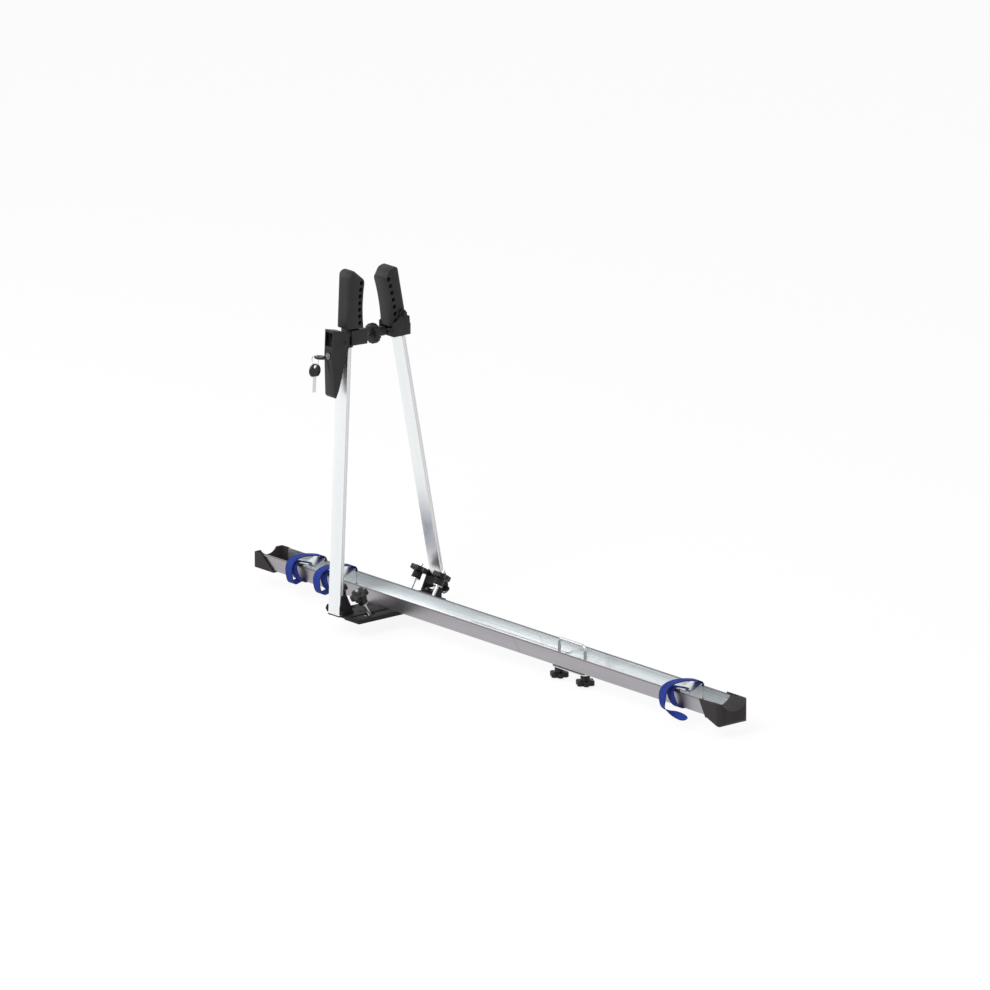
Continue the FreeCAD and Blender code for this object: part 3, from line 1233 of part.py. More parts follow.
def star_knob(name, hub, thick, wire):
    """A six-lobed knob: a hub from height 0 and a scalloped disc above it."""
    reach = "(knob_reach - lobe_radius)"
    pieces = [cylinder(name + "_hub", ("0", "0", "0"), "z", "hub_radius", f"{hub} + 1"),
              cylinder(name + "_core", ("0", "0", hub), "z", "knob_core", thick)]
    lobes = 6
    for k in range(lobes):
        turn = k * 360 // lobes
        at = (f"{reach} * cos({turn})", f"{reach} * sin({turn})", hub)
        pieces.append(cylinder(f"{name}_lobe_{k}", at, "z", "lobe_radius", thick))
    star = fuse(name + "_star", *pieces)
    envelope = cylinder(name + "_envelope", ("0", "0", "0"), "z", "knob_reach + 0.01", f"{hub} + {thick}")
    doc.recompute()
    top = size(hub) + size(thick)
    envelope = rounded(name + "_bevel", envelope, "knob_bevel", lambda edge: isinstance(
        edge.Curve, Part.Circle) and abs(edge.CenterOfMass.z - top) < 0.01)
    bore = cylinder(name + "_bore", ("0", "0", "-cut_near"), "z", f"{wire} + thread_fit",
                    f"{hub} + {thick} + 2 * cut_near")
    return cut(name, common(name + "_form", star, envelope), bore)


def washer(name, wire):
    disc = cylinder(name + "_disc", ("0", "0", "0"), "z", "washer_radius", "washer_thick")
    hole = cylinder(name + "_hole", ("0", "0", "-cut_near"), "z", f"{wire} + thread_fit",
                    "washer_thick + 2 * cut_near")
    return cut(name, disc, hole)


def make_base_clamps():
    bar = "((wire_radius - base_thick) / cos(leg_lean))"
    for side, s, place, axis in (("near", "-", "-near_leg_place", (1, 0, 0)),
                                 ("far", "+", "far_leg_place", (-1, 0, 0))):
        tip = f"({side}_front_knob_place + knob_thick / 2 + leg_tip)"
        bolt = u_bolt(f"{side}_u_bolt", f"{side}_leg_rear", f"{side}_leg_front", "wire_radius",
                      "bend_radius", bar, tip, "low")
        part(f"{side}_u_bolt", put(bolt, ("0", place, "base_thick"), axis, "leg_lean"))
        washers = []
        for hand in ("rear", "front"):
            def along(distance):
                return (f"{side}_leg_{hand}", f"{place} {s} ({distance}) * sin(leg_lean)",
                        f"base_thick + ({distance}) * cos(leg_lean)")
            hub_start = f"({side}_{hand}_knob_place - knob_thick / 2 - base_hub)"
            knob = star_knob(f"{side}_{hand}_knob", "base_hub", "knob_thick", "wire_radius")
            part(f"{side}_{hand}_knob", put(knob, along(hub_start), axis, "leg_lean"))
            ring = washer(f"{side}_{hand}_washer", "wire_radius")
            washers.append(put(ring, along(f"{hub_start} - washer_thick"), axis, "leg_lean"))
        part(f"{side}_clamp_washers", compound(f"{side}_clamp_washers", *washers))


def make_front_clamp():
    plate_top = "(base_thick - clamp_plate_drop)"
    hub_top = f"({plate_top} - clamp_plate_thick - washer_thick)"
    tip = f"({hub_top} - front_hub - front_knob_thick - front_tip)"
    bolt = u_bolt("front_u_bolt", "front_leg_rear", "front_leg_front", "front_wire_radius", "front_bend",
                  "(front_bar_top - front_wire_radius)", tip, "high")
    part("front_u_bolt", bolt)
    plate = box("plate_sheet", ("front_leg_rear - clamp_plate_over", "-clamp_plate_half",
                                f"{plate_top} - clamp_plate_thick"),
                ("front_leg_front - front_leg_rear + 2 * clamp_plate_over", "2 * clamp_plate_half",
                 "clamp_plate_thick"))
    plate = rounded("plate_round", plate, "plate_corner", vertical_edge)
    holes = [upright_hole(f"plate_hole_{k}", x, "0", "front_wire_radius + plug_fit",
                          f"{plate_top} - clamp_plate_thick - cut_near",
                          "clamp_plate_thick + 2 * cut_near")
             for k, x in enumerate(FRONT_LEGS)]
    part("clamp_plate", cut("clamp_plate", plate, *holes))
    washers = []
    for hand, x in zip(("rear", "front"), FRONT_LEGS):
        knob = star_knob(f"front_clamp_{hand}_knob", "front_hub", "front_knob_thick", "front_wire_radius")
        part(f"front_clamp_{hand}_knob", put(knob, (x, "0", hub_top), (1, 0, 0), "180"))
        ring = washer(f"front_{hand}_washer", "front_wire_radius")
        washers.append(put(ring, (x, "0", hub_top)))
    part("front_clamp_washers", compound("front_clamp_washers", *washers))


# wheel saddles and their straps


def make_saddle(node, place):
    slope = "((saddle_rise - saddle_dip) / saddle_tip)"
    inner = "(rail_width / 2 - rim_bulge - rail_wall - saddle_fit)"
    floor = "(base_thick + rail_floor + saddle_fit)"
    sheet_points = [
        ("-saddle_tip", "saddle_rise"),
        ("0", "saddle_dip"),
        ("saddle_tip", "saddle_rise"),
        ("saddle_tip", "saddle_rise + saddle_sheet"),
        ("0", "saddle_dip + saddle_sheet"),
        ("-saddle_tip", "saddle_rise + saddle_sheet"),
    ]
    start = f"({place} - saddle_long / 2)"
    top = prism(node + "_top", "yz", sheet_points, "saddle_long", (start, "0", "0"))
    web_tip = "(saddle_tip - saddle_sheet)"
    web_points = [
        (f"-{web_tip}", f"saddle_dip + {web_tip} * {slope} + saddle_sink"),
        (f"-{inner}", f"{RAIL_TOP} - saddle_shoulder"),
        (f"-{inner}", f"{floor} + saddle_foot"),
        (f"-{inner} + saddle_foot", floor),
        (f"{inner} - saddle_foot", floor),
        (inner, f"{floor} + saddle_foot"),
        (inner, f"{RAIL_TOP} - saddle_shoulder"),
        (web_tip, f"saddle_dip + {web_tip} * {slope} + saddle_sink"),
        ("0", "saddle_dip + saddle_sink"),
    ]
    webs = [prism(f"{node}_rear_web", "yz", web_points, "saddle_sheet", (start, "0", "0")),
            prism(f"{node}_front_web", "yz", web_points, "saddle_sheet",
                  (f"{start} + saddle_long - saddle_sheet", "0", "0"))]
    hole = upright_hole(node + "_hole", place, "0", "saddle_hole_radius", "saddle_dip - cut_past",
                        "4 * cut_past")
    part(node, cut(node, fuse(node + "_body", top, *webs), hole))


def offset_line(points, distance):
    """A line of points moved sideways by a distance, mitred at its corners."""
    moved = []
    for k, point in enumerate(points):
        before = (point - points[k - 1]) if k else (points[1] - point)
        after = (points[k + 1] - point) if k + 1 < len(points) else (point - points[k - 1])
        before, after = before.normalize(), after.normalize()
        normal = Vector(0, -(before.z + after.z), before.y + after.y)
        scale = distance / max(0.3, (normal.y * -before.z + normal.z * before.y))
        moved.append(point + normal * scale)
    return moved


def smooth_line(points, share):
    """Straight runs joined by tangent arcs, each set by the shorter run beside it."""
    edges = []
    start = points[0]
    for before, corner, after in zip(points, points[1:], points[2:]):
        back, ahead = before - corner, after - corner
        reach = share * min(back.Length, ahead.Length)
        back, ahead = back.normalize(), ahead.normalize()
        first, last = corner + back * reach, corner + ahead * reach
        half = back.getAngle(ahead) / 2
        radius = reach * math.tan(half)
        middle = corner + (back + ahead).normalize() * (radius / math.sin(half) - radius)
        edges.append(Part.LineSegment(start, first).toShape())
        edges.append(Part.Arc(first, middle, last).toShape())
        start = last
    edges.append(Part.LineSegment(start, points[-1]).toShape())
    return edges


def strap_route(outer):
    """The strap's middle line across the rail, from the saddle's dip to its free end."""
    thick = size("strap_thick")
    rim = size(RAIL_TOP)
    half = size("rail_width / 2")
    tip_y = size("saddle_tip")
    tip_z = size("saddle_rise + saddle_sheet")
    dip = size("saddle_dip + saddle_sheet") + thick
    under = size("base_thick - strap_clear / 2") - 0.5 * thick
    inner = size("strap_inner_loop")
    loop = size(outer)
    second = under - thick - size("strap_clear")
    return [Vector(0, y, z) for y, z in (
        (0.2 * tip_y, dip + 1.1 * thick),
        (-0.45 * tip_y, dip + 3.4 * thick),
        (-half + 0.1 * inner, tip_z + 1.9 * thick),
        (-half - 0.8 * inner, tip_z),
        (-half - inner, rim - 3 * thick),
        (-half - 0.9 * inner, 0.5 * rim),
        (-half - 0.5 * inner, under + 1.4 * thick),
        (-half + 0.1 * inner, under),
        (half + thick, under),
        (half + 2.5 * thick, under + 4.5 * thick),
        (half + 2.5 * thick, rim - 4.5 * thick),
        (half + 1.1 * thick, tip_z + 0.9 * thick),
        (0.78 * tip_y, tip_z + 2.5 * thick),
        (0, tip_z + 5.4 * thick),
        (-0.85 * tip_y, tip_z + 6.5 * thick),
        (-half - 0.57 * loop, tip_z + 4.6 * thick),
        (-half - 0.98 * loop, rim + 0.6 * thick),
        (-half - loop, 0.65 * rim),
        (-half - 0.84 * loop, under),
        (-half - 0.5 * loop, second - 3.7 * thick),
        (-half + thick, second - 0.3 * thick),
        (0.4 * half, second),
    )]


def make_strap(node, place, outer):
    thick = size("strap_thick")
    line = strap_route(outer)
    one_side = smooth_line(offset_line(line, thick / 2), 0.45)
    other_side = smooth_line(offset_line(line, -thick / 2), 0.45)
    ends = [Part.LineSegment(one_side[k].Vertexes[v].Point, other_side[k].Vertexes[v].Point).toShape()
            for k, v in ((0, 0), (-1, 1))]
    ring = Part.Wire(Part.__sortEdges__(one_side + other_side + ends))
    wide = size("strap_wide")
    band = Part.Face(ring).extrude(Vector(wide, 0, 0))
    band.translate(Vector(size(place) - wide / 2, 0, 0))
    feature(node, band)


def make_saddles():
    for name in ("rear", "mid", "front"):
        make_saddle(f"{name}_saddle", f"saddle_{name}")
        make_strap(f"{name}_strap", f"saddle_{name}", f"{name}_outer_loop")


def write_parts():
    doc.recompute()
    for thing in doc.Objects:
        if "Invalid" in thing.State or "Error" in thing.State:
            raise RuntimeError(f"{thing.Name} did not build: {thing.State}")
    for node, thing in parts.items():
        if thing.Shape.isNull() or not thing.Shape.isValid() or not thing.Shape.Solids:
            raise RuntimeError(f"{node} is not a sound solid")
    os.makedirs("parts", exist_ok=True)
    for node, thing in parts.items():
        thing.Shape.exportStep(f"parts/{node}.step")
        bounds = thing.Shape.BoundBox
        print(f"{node:28s} solids {len(thing.Shape.Solids)} volume {thing.Shape.Volume:12.1f}"
              f" x {bounds.XMin:8.1f} {bounds.XMax:8.1f} y {bounds.YMin:7.1f} {bounds.YMax:7.1f}"
              f" z {bounds.ZMin:7.1f} {bounds.ZMax:7.1f}")
    print(len(parts), "nodes")


make_rail()
make_joiner()
make_caps()
make_base()
make_base_bolts()
make_bracket("near_arm_bracket", -1)
make_bracket("far_arm_bracket", 1)
make_bracket_bolts()
make_pivots()
make_arms()
make_near_bracket()
make_far_bracket()
make_jaws()
make_rod()
make_adjuster()
make_lever()
make_lock()
make_base_clamps()
make_front_clamp()
make_saddles()
write_parts()
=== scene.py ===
import json
import math

import bmesh
import bpy
from mathutils import Matrix, Vector

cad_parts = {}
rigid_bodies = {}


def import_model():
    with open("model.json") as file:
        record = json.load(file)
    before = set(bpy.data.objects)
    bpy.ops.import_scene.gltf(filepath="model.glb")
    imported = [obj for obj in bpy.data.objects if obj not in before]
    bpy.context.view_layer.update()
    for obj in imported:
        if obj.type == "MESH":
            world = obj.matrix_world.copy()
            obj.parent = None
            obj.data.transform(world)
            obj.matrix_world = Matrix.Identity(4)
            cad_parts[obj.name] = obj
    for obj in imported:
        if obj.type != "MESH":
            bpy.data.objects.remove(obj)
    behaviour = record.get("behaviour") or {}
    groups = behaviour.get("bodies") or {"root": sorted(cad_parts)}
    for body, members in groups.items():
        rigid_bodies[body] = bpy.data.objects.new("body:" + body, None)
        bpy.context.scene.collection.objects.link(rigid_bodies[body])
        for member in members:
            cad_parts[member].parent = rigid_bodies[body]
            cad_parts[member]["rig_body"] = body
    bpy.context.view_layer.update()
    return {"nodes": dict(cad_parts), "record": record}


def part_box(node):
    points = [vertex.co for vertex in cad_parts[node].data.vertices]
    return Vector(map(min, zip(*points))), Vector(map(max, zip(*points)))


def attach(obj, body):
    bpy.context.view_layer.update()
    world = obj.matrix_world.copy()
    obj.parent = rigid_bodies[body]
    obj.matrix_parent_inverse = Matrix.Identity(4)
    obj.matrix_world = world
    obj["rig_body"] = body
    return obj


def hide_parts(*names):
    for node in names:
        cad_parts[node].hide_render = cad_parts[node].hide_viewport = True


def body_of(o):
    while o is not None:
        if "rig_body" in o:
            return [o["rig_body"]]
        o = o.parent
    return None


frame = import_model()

# A roof-rack bike carrier, dressed for a studio picture. Metres; +X runs along the rail to
# its front end, +Y across it, +Z up, with the origin under the base pad.

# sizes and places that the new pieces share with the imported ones
RAIL_HALF = 0.0325
ARM_CENTRE = -0.020
NEAR_PIVOT = Vector((0, -0.128, 0.015))
NEAR_LEAN = math.radians(2.6)
ROD_HEIGHT = 0.54278
ADJUSTER_START = -0.04305
ADJUSTER_RADIUS = 0.0186
ADJUSTER_LONG = 0.016
LOCK_HEIGHT = 0.5005
KEY_BOW_OUT = -0.0582
FRONT_HUB_TOP = -0.0064
FLOOR_LEVEL = -0.0306

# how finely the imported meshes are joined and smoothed
MERGE_WITHIN = 0.000005
FLAT_WITHIN = math.radians(0.6)
SHARP_FROM = math.radians(40)

JOINTS = {joint["name"]: joint for joint in frame["record"]["behaviour"]["joints"]}


# hand tools


def only(piece):
    """Select one piece and nothing else."""
    bpy.ops.object.select_all(action="DESELECT")
    piece.select_set(True)
    bpy.context.view_layer.objects.active = piece


def hold(piece):
    """Open one piece in edit mode with nothing on it selected."""
    only(piece)
    bpy.ops.object.mode_set(mode="EDIT")
    bpy.ops.mesh.select_mode(type="VERT")
    bpy.ops.mesh.select_all(action="DESELECT")


def let_go():
    bpy.ops.object.mode_set(mode="OBJECT")


def pick(piece, kind, test):
    """Select the vertices, edges or faces for which a test of the element holds."""
    drawn = bmesh.from_edit_mesh(piece.data)
    bpy.ops.mesh.select_all(action="DESELECT")
    for element in getattr(drawn, kind):
        if test(element):
            element.select_set(True)
    drawn.select_flush_mode()
    bmesh.update_edit_mesh(piece.data)


def finish_with(piece, kind, **settings):
    """Add a modifier with its settings and apply it."""
    only(piece)
    made = piece.modifiers.new(kind.lower(), kind)
    for name, value in settings.items():
        setattr(made, name, value)
    bpy.ops.object.modifier_apply(modifier=made.name)


def round_edges(piece, width, segments=2, sharp_from=SHARP_FROM):
    """Round the edges that are sharper than an angle."""
    finish_with(piece, "BEVEL", width=width, segments=segments, limit_method="ANGLE",
                angle_limit=sharp_from, use_clamp_overlap=True)


def smooth(piece, degrees):
    only(piece)
    bpy.ops.object.shade_smooth_by_angle(angle=math.radians(degrees))


def settle(piece):
    """Put the place of a piece into its mesh."""
    only(piece)
    bpy.ops.object.transform_apply(location=True, rotation=True, scale=True)


def merge_all():
    """Select the whole of the held piece and merge what lies in one place."""
    bpy.ops.mesh.select_all(action="SELECT")
    bpy.ops.mesh.remove_doubles(threshold=MERGE_WITHIN)


def outwards(piece):
    """Close the seams of a piece and turn its faces outwards."""
    hold(piece)
    merge_all()
    bpy.ops.mesh.normals_make_consistent(inside=False)
    let_go()


def named(name):
    """The piece that was just added, under its own name."""
    piece = bpy.context.object
    piece.name = name
    piece.data.name = name
    return piece


def copy_of(piece, name):
    """A copy of a piece, with a mesh of its own."""
    twin = bpy.data.objects.new(name, piece.data.copy())
    bpy.context.scene.collection.objects.link(twin)
    return twin


def carried(piece, node):
    """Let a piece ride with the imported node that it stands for."""
    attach(piece, body_of(frame["nodes"][node])[0])
    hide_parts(node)


def in_near_arm(out, up):
    """A place in the leaning near arm's own measure."""
    lean = Matrix.Rotation(-NEAR_LEAN, 3, "X")
    return NEAR_PIVOT + lean @ Vector((ARM_CENTRE, out, up))


def stood(piece, place, axis):
    """Turn a piece that was made upright to its axis and put it in place."""
    turn = Vector((0, 0, 1)).rotation_difference(Vector(axis)).to_matrix().to_4x4()
    piece.matrix_world = Matrix.Translation(place) @ turn
    settle(piece)
    return piece


def widen(factor, centre):
    """Scale what is selected about an upright axis through a place."""
    bpy.ops.transform.resize(value=(factor, factor, 1), center_override=centre)


def turned(name, profile, sides, lobes):
    """A bored, turned piece: a ring drawn through radii and heights, closed through its bore.

    Lobes are the steps of the profile between which the ring is shaped, and its factors."""
    bpy.ops.object.select_all(action="DESELECT")
    radius, height = profile[0]
    bpy.ops.mesh.primitive_circle_add(vertices=sides, radius=radius, location=(0, 0, height))
    piece = named(name)
    settle(piece)
    hold(piece)
    pick(piece, "verts", lambda v: True)
    for step, (wider, higher) in enumerate(profile[1:], 1):
        rise = {"value": (0, 0, higher - height)}
        bpy.ops.mesh.extrude_region_move(TRANSFORM_OT_translate=rise)
        widen(wider / radius, (0, 0, higher))
        if step in lobes["steps"]:
            shape_ring(piece, lobes["factors"], step == lobes["steps"][1])
        radius, height = wider, higher
    pick(piece, "edges", lambda e: e.is_boundary)
    bpy.ops.mesh.bridge_edge_loops()
    let_go()
    outwards(piece)
    return piece


def shape_ring(piece, factors, undo):
    """Push the selected ring in and out by the steps of one lobe, or back again."""
    drawn = bmesh.from_edit_mesh(piece.data)
    ring = [v.index for v in drawn.verts if v.select]
    height = next(v.co.z for v in drawn.verts if v.select)
    sides = len(ring)
    period = 2 * (len(factors) - 1)
    for index, factor in enumerate(factors):
        def in_group(v):
            turn = round(math.atan2(v.co.y, v.co.x) / (2 * math.pi) * sides) % period
            return v.index in ring and min(turn, period - turn) == index
        pick(piece, "verts", in_group)
        widen(1 / factor if undo else factor, (0, 0, height))
    pick(piece, "verts", lambda v: v.index in ring)


# finishes


class Wire:
    """A value that runs between the nodes of a finish; sums and products add Math nodes."""

    def __init__(self, finish, socket):
        self.finish = finish
        self.socket = socket

    def join(self, operation, first, second):
        return self.finish.node("ShaderNodeMath", {"operation": operation},
                                {0: first, 1: second})

    def __add__(self, other):
        return self.join("ADD", self, other)

    def __radd__(self, other):
        return self.join("ADD", other, self)

    def __mul__(self, other):
        return self.join("MULTIPLY", self, other)

    def __rmul__(self, other):
        return self.join("MULTIPLY", other, self)


class Finish:
    """One finish of the carrier and the nodes that make it."""

    def __init__(self, name, metallic=0.0, specular=0.5):
        self.material = bpy.data.materials.new(name)
        self.material.use_nodes = True
        self.tree = self.material.node_tree
        self.surface = self.tree.nodes["Principled BSDF"]
        self.surface.inputs["Metallic"].default_value = metallic
        self.surface.inputs["Specular IOR Level"].default_value = specular

    def node(self, kind, settings, sockets, output=0):
        """Add a node: its settings first, then the values and links of its sockets."""
        made = self.tree.nodes.new(kind)
        for name, value in settings.items():
            setattr(made, name, value)
        for name, value in sockets.items():
            self.feed(made.inputs[name], value)
        return Wire(self, made.outputs[output])

    def feed(self, socket, value):
        """Link a value to a socket, or set the socket to a number, a colour or a vector."""
        if isinstance(value, Wire):
            self.tree.links.new(value.socket, socket)
        elif isinstance(value, tuple) and len(socket.default_value) == 4:
            socket.default_value = (*value, 1.0)
        else:
            socket.default_value = value

    def set(self, **values):
        """Feed the surface's own sockets, named with _ for a space."""
        for name, value in values.items():
            self.feed(self.surface.inputs[name.replace("_", " ").title()], value)

    def place(self):
        return self.node("ShaderNodeTexCoord", {}, {}, "Object")

    def along(self, letter, where=None):
        """One coordinate of a place, by default the place on the object."""
        return self.node("ShaderNodeSeparateXYZ", {}, {0: where or self.place()}, letter)

    def size_of(self, value):
        return self.node("ShaderNodeMath", {"operation": "ABSOLUTE"}, {0: value})

    def wave(self, value):
        return self.node("ShaderNodeMath", {"operation": "SINE"}, {0: value})

    def step(self, value, low, high):
        """0 below one value, 1 above the other and smooth between."""
        return self.node("ShaderNodeMapRange", {"interpolation_type": "SMOOTHSTEP"},
                         {"Value": value, "From Min": low, "From Max": high})

    def spread(self, value, low, high):
        """A value from 0 to 1 laid onto another range."""
        return self.node("ShaderNodeMapRange", {},
                         {"Value": value, "To Min": low, "To Max": high})

    def grain(self, scale, stretch=(1, 1, 1), detail=2.0):
        """Noise from 0 to 1 on the object's own coordinates."""
        where = self.node("ShaderNodeMapping", {}, {"Vector": self.place(), "Scale": stretch})
        return self.node("ShaderNodeTexNoise", {},
                         {"Vector": where, "Scale": scale, "Detail": detail})

    def mix(self, share, first, second):
        """A colour between two."""
        return self.node("ShaderNodeMix", {"data_type": "RGBA"},
                         {0: share, 6: first, 7: second}, 2)

    def bump(self, height, strength, depth):
        return self.node("ShaderNodeBump", {},
                         {"Height": height, "Strength": strength, "Distance": depth})


def toned(colour, tone):
    """A colour made lighter or darker by a factor."""
    return tuple(channel * tone for channel in colour)


def wear(piece, finish):
    """Give a piece one finish in every slot."""
    if piece.material_slots:
        for slot in piece.material_slots:
            slot.material = finish.material
    else:
        piece.data.materials.append(finish.material)


def rail_finish():
    """Drawn aluminium: bright inside, painted shade on the outer wall, lines along the rail and
    painted shade on the top lips.
    """
    bright, brightest = (0.70, 0.735, 0.745), (0.88, 0.90, 0.905)
    # painted shade: the outer wall's greys, darker than the inside only for how light falls on it
    outer_shade, outer_deep_shade = (0.45, 0.435, 0.455), (0.335, 0.315, 0.345)
    # grey for the drawn lines; near black for the painted shade along the top lips
    line_grey, lip_shade_black = (0.30, 0.29, 0.31), (0.13, 0.12, 0.125)
    inside_ends, outside_starts = 0.0298, 0.0304
    lip_starts, lip_full = 0.0338, 0.0345

    finish = Finish("rail_aluminium", metallic=1.0)
    lines = finish.grain(1.0, (2.0, 900.0, 900.0), detail=3.0)
    blotch = finish.grain(9.0, (0.35, 2.0, 2.0), detail=3.0)
    # where the outer wall's painted shade takes over from the bright inside
    outside = finish.step(finish.size_of(finish.along("Y")), inside_ends, outside_starts)
    # painted shade mask along the lips at the top of the walls
    lip_shade = finish.step(finish.along("Z"), lip_starts, lip_full)
    inner = finish.mix(finish.spread(blotch, 0.1, 0.9), bright, brightest)
    # the outer wall's painted shade, varied by the blotch
    outer = finish.mix(finish.spread(blotch, 0.0, 1.0), outer_deep_shade, outer_shade)
    wall = finish.mix(outside, inner, outer)
    lined = finish.mix(finish.spread(lines, -0.55, 0.75), wall, line_grey)
    # the lips are darkened with painted shade
    finish.set(base_color=finish.mix(lip_shade * 0.8, lined, lip_shade_black),
               roughness=finish.spread(lines, 0.26, 0.46),
               normal=finish.bump(lines, 0.12, 0.0002))
    return finish


def arm_finish():
    """Satin aluminium, near white, with faint lines along the arms and painted shade on the
    narrow front side.
    """
    silver, near_white = (0.80, 0.83, 0.845), (0.93, 0.94, 0.945)
    # painted shade: the grey of the narrow front side; line grey for the drawn lines
    side_shade_grey, line_grey = (0.66, 0.64, 0.65), (0.52, 0.54, 0.56)
    side_starts, side_full = -0.0036, -0.0031

    finish = Finish("arm_aluminium", metallic=1.0)
    lines = finish.grain(1.0, (700.0, 700.0, 3.0), detail=3.0)
    cloud = finish.grain(5.0, (8.0, 3.0, 0.5))
    face = finish.mix(finish.spread(cloud, 0.0, 1.0), silver, near_white)
    # painted shade mask on the narrow front side of the arm
    side = finish.step(finish.along("X"), side_starts, side_full)
    shaded = finish.mix(side, face, side_shade_grey)
    lined = finish.mix(finish.spread(lines, -0.7, 0.55), shaded, line_grey)
    finish.set(base_color=lined, roughness=finish.spread(lines, 0.24, 0.40),
               normal=finish.bump(lines, 0.08, 0.0002))
    return finish


def zinc_finish(name, tone, shade_above=None):
    """Zinc plate with its fine mottle, and painted shadow above a height if one is given."""
    shade, shine, haze = (0.56, 0.58, 0.59), (0.86, 0.87, 0.87), (0.62, 0.64, 0.67)
    # near black for the painted shadow along the top of the plate, and how softly it starts
    shade_black, shade_edge = (0.02, 0.025, 0.02), 0.0002

    finish = Finish(name, metallic=1.0)
    mottle = finish.grain(320.0, detail=4.0)
    cloud = finish.grain(38.0)
    light = finish.mix(finish.spread(mottle, -0.2, 1.2), toned(shade, tone), toned(shine, tone))
    colour = finish.mix(finish.spread(cloud, -0.3, 0.6), light, toned(haze, tone))
    if shade_above is not None:
        # painted shadow above the given height
        shade_band = finish.step(finish.along("Z"), shade_above, shade_above + shade_edge)
        colour = finish.mix(shade_band, colour, shade_black)
    finish.set(base_color=colour, roughness=finish.spread(mottle, 0.22, 0.42),
               normal=finish.bump(mottle, 0.05, 0.0003))
    return finish


def plastic_finish(name, dark, light, roughness, specular):
    """Moulded plastic or rubber with a fine texture and rubbed, greyer places."""
    finish = Finish(name, specular=specular)
    fine = finish.grain(1400.0)
    rubbed = finish.grain(26.0, detail=4.0)
    colour = finish.mix(finish.spread(rubbed, -0.4, 1.3), dark, light)
    finish.set(base_color=colour, roughness=finish.spread(rubbed, *roughness),
               normal=finish.bump(fine, 0.25, 0.0002))
    return finish


def webbing_finish():
    """Royal blue webbing: ribs across the band, yarns along it and a denser edge."""
    ribs_per_metre, yarns_per_metre, yarn_slant = 5200.0, 7000.0, 2600.0
    valley, crest = (0.004, 0.011, 0.13), (0.013, 0.040, 0.31)
    faded_blue, edge_blue = (0.018, 0.062, 0.36), (0.003, 0.006, 0.07)
    edge_starts, edge_full = 0.0078, 0.0086

    finish = Finish("blue_webbing_weave", specular=0.25)
    woven = finish.node("ShaderNodeUVMap", {"uv_map": "band"}, {})
    run = finish.along("X", woven)
    across = finish.along("Y", woven)
    rib = finish.wave(run * ribs_per_metre)
    yarn = finish.wave(across * yarns_per_metre + run * yarn_slant)
    weave = (rib * yarn) * 0.5 + 0.5
    cloud = finish.grain(60.0, detail=3.0)
    body = finish.mix(weave, valley, crest)
    faded = finish.mix(finish.spread(cloud, -0.5, 0.8), body, faded_blue)
    edge = finish.step(finish.size_of(across), edge_starts, edge_full)
    finish.set(base_color=finish.mix(edge * 0.55, faded, edge_blue),
               roughness=finish.spread(weave, 0.62, 0.85),
               normal=finish.bump(weave, 0.5, 0.0004))
    return finish


def nickel_finish(name, tone):
    """Nickel plate with fine scratches."""
    scratched, polished = (0.55, 0.53, 0.48), (0.86, 0.84, 0.78)

    finish = Finish(name, metallic=1.0)
    scratches = finish.grain(500.0, (1.0, 0.15, 1.0), detail=3.0)
    finish.set(base_color=finish.mix(scratches, toned(scratched, tone), toned(polished, tone)),
               roughness=finish.spread(scratches, 0.2, 0.4))
    return finish


RAIL = rail_finish()
ARMS = arm_finish()
SADDLE_ZINC = zinc_finish("saddle_zinc", 1.05)
WIRE_ZINC = zinc_finish("wire_zinc", 0.74)
# the clamp plate carries painted shadow along its top, where it sits under the rail
PLATE_ZINC = zinc_finish("clamp_plate_zinc", 1.0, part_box("clamp_plate")[1][2] - 0.0014)
SMALL_ZINC = zinc_finish("fastener_zinc", 0.85)
BLACK_BASE = plastic_finish("black_base_plastic", (0.004, 0.003, 0.004), (0.012, 0.009, 0.011),
                            (0.45, 0.65), 0.22)
CAP_RUBBER = plastic_finish("cap_rubber", (0.012, 0.010, 0.010), (0.030, 0.026, 0.026),
                            (0.50, 0.72), 0.28)
JAW_RUBBER = plastic_finish("jaw_rubber_skin", (0.010, 0.009, 0.010), (0.022, 0.020, 0.021),
                            (0.42, 0.60), 0.28)
LEVER_PLASTIC = plastic_finish("lever_plastic", (0.010, 0.009, 0.009), (0.022, 0.020, 0.021),
                               (0.38, 0.55), 0.28)
KNOB_PLASTIC = plastic_finish("knob_black", (0.003, 0.003, 0.004), (0.010, 0.009, 0.010),
                              (0.28, 0.48), 0.3)
KEY_PLASTIC = plastic_finish("key_cover", (0.004, 0.004, 0.004), (0.012, 0.011, 0.011),
                             (0.22, 0.38), 0.4)
PAD_RUBBER = plastic_finish("pad_rubber_skin", (0.008, 0.008, 0.009), (0.020, 0.019, 0.020),
                            (0.60, 0.80), 0.25)
WEBBING = webbing_finish()
NICKEL = nickel_finish("nickel_plate", 1.0)
DULL_NICKEL = nickel_finish("dull_nickel_plate", 0.28)

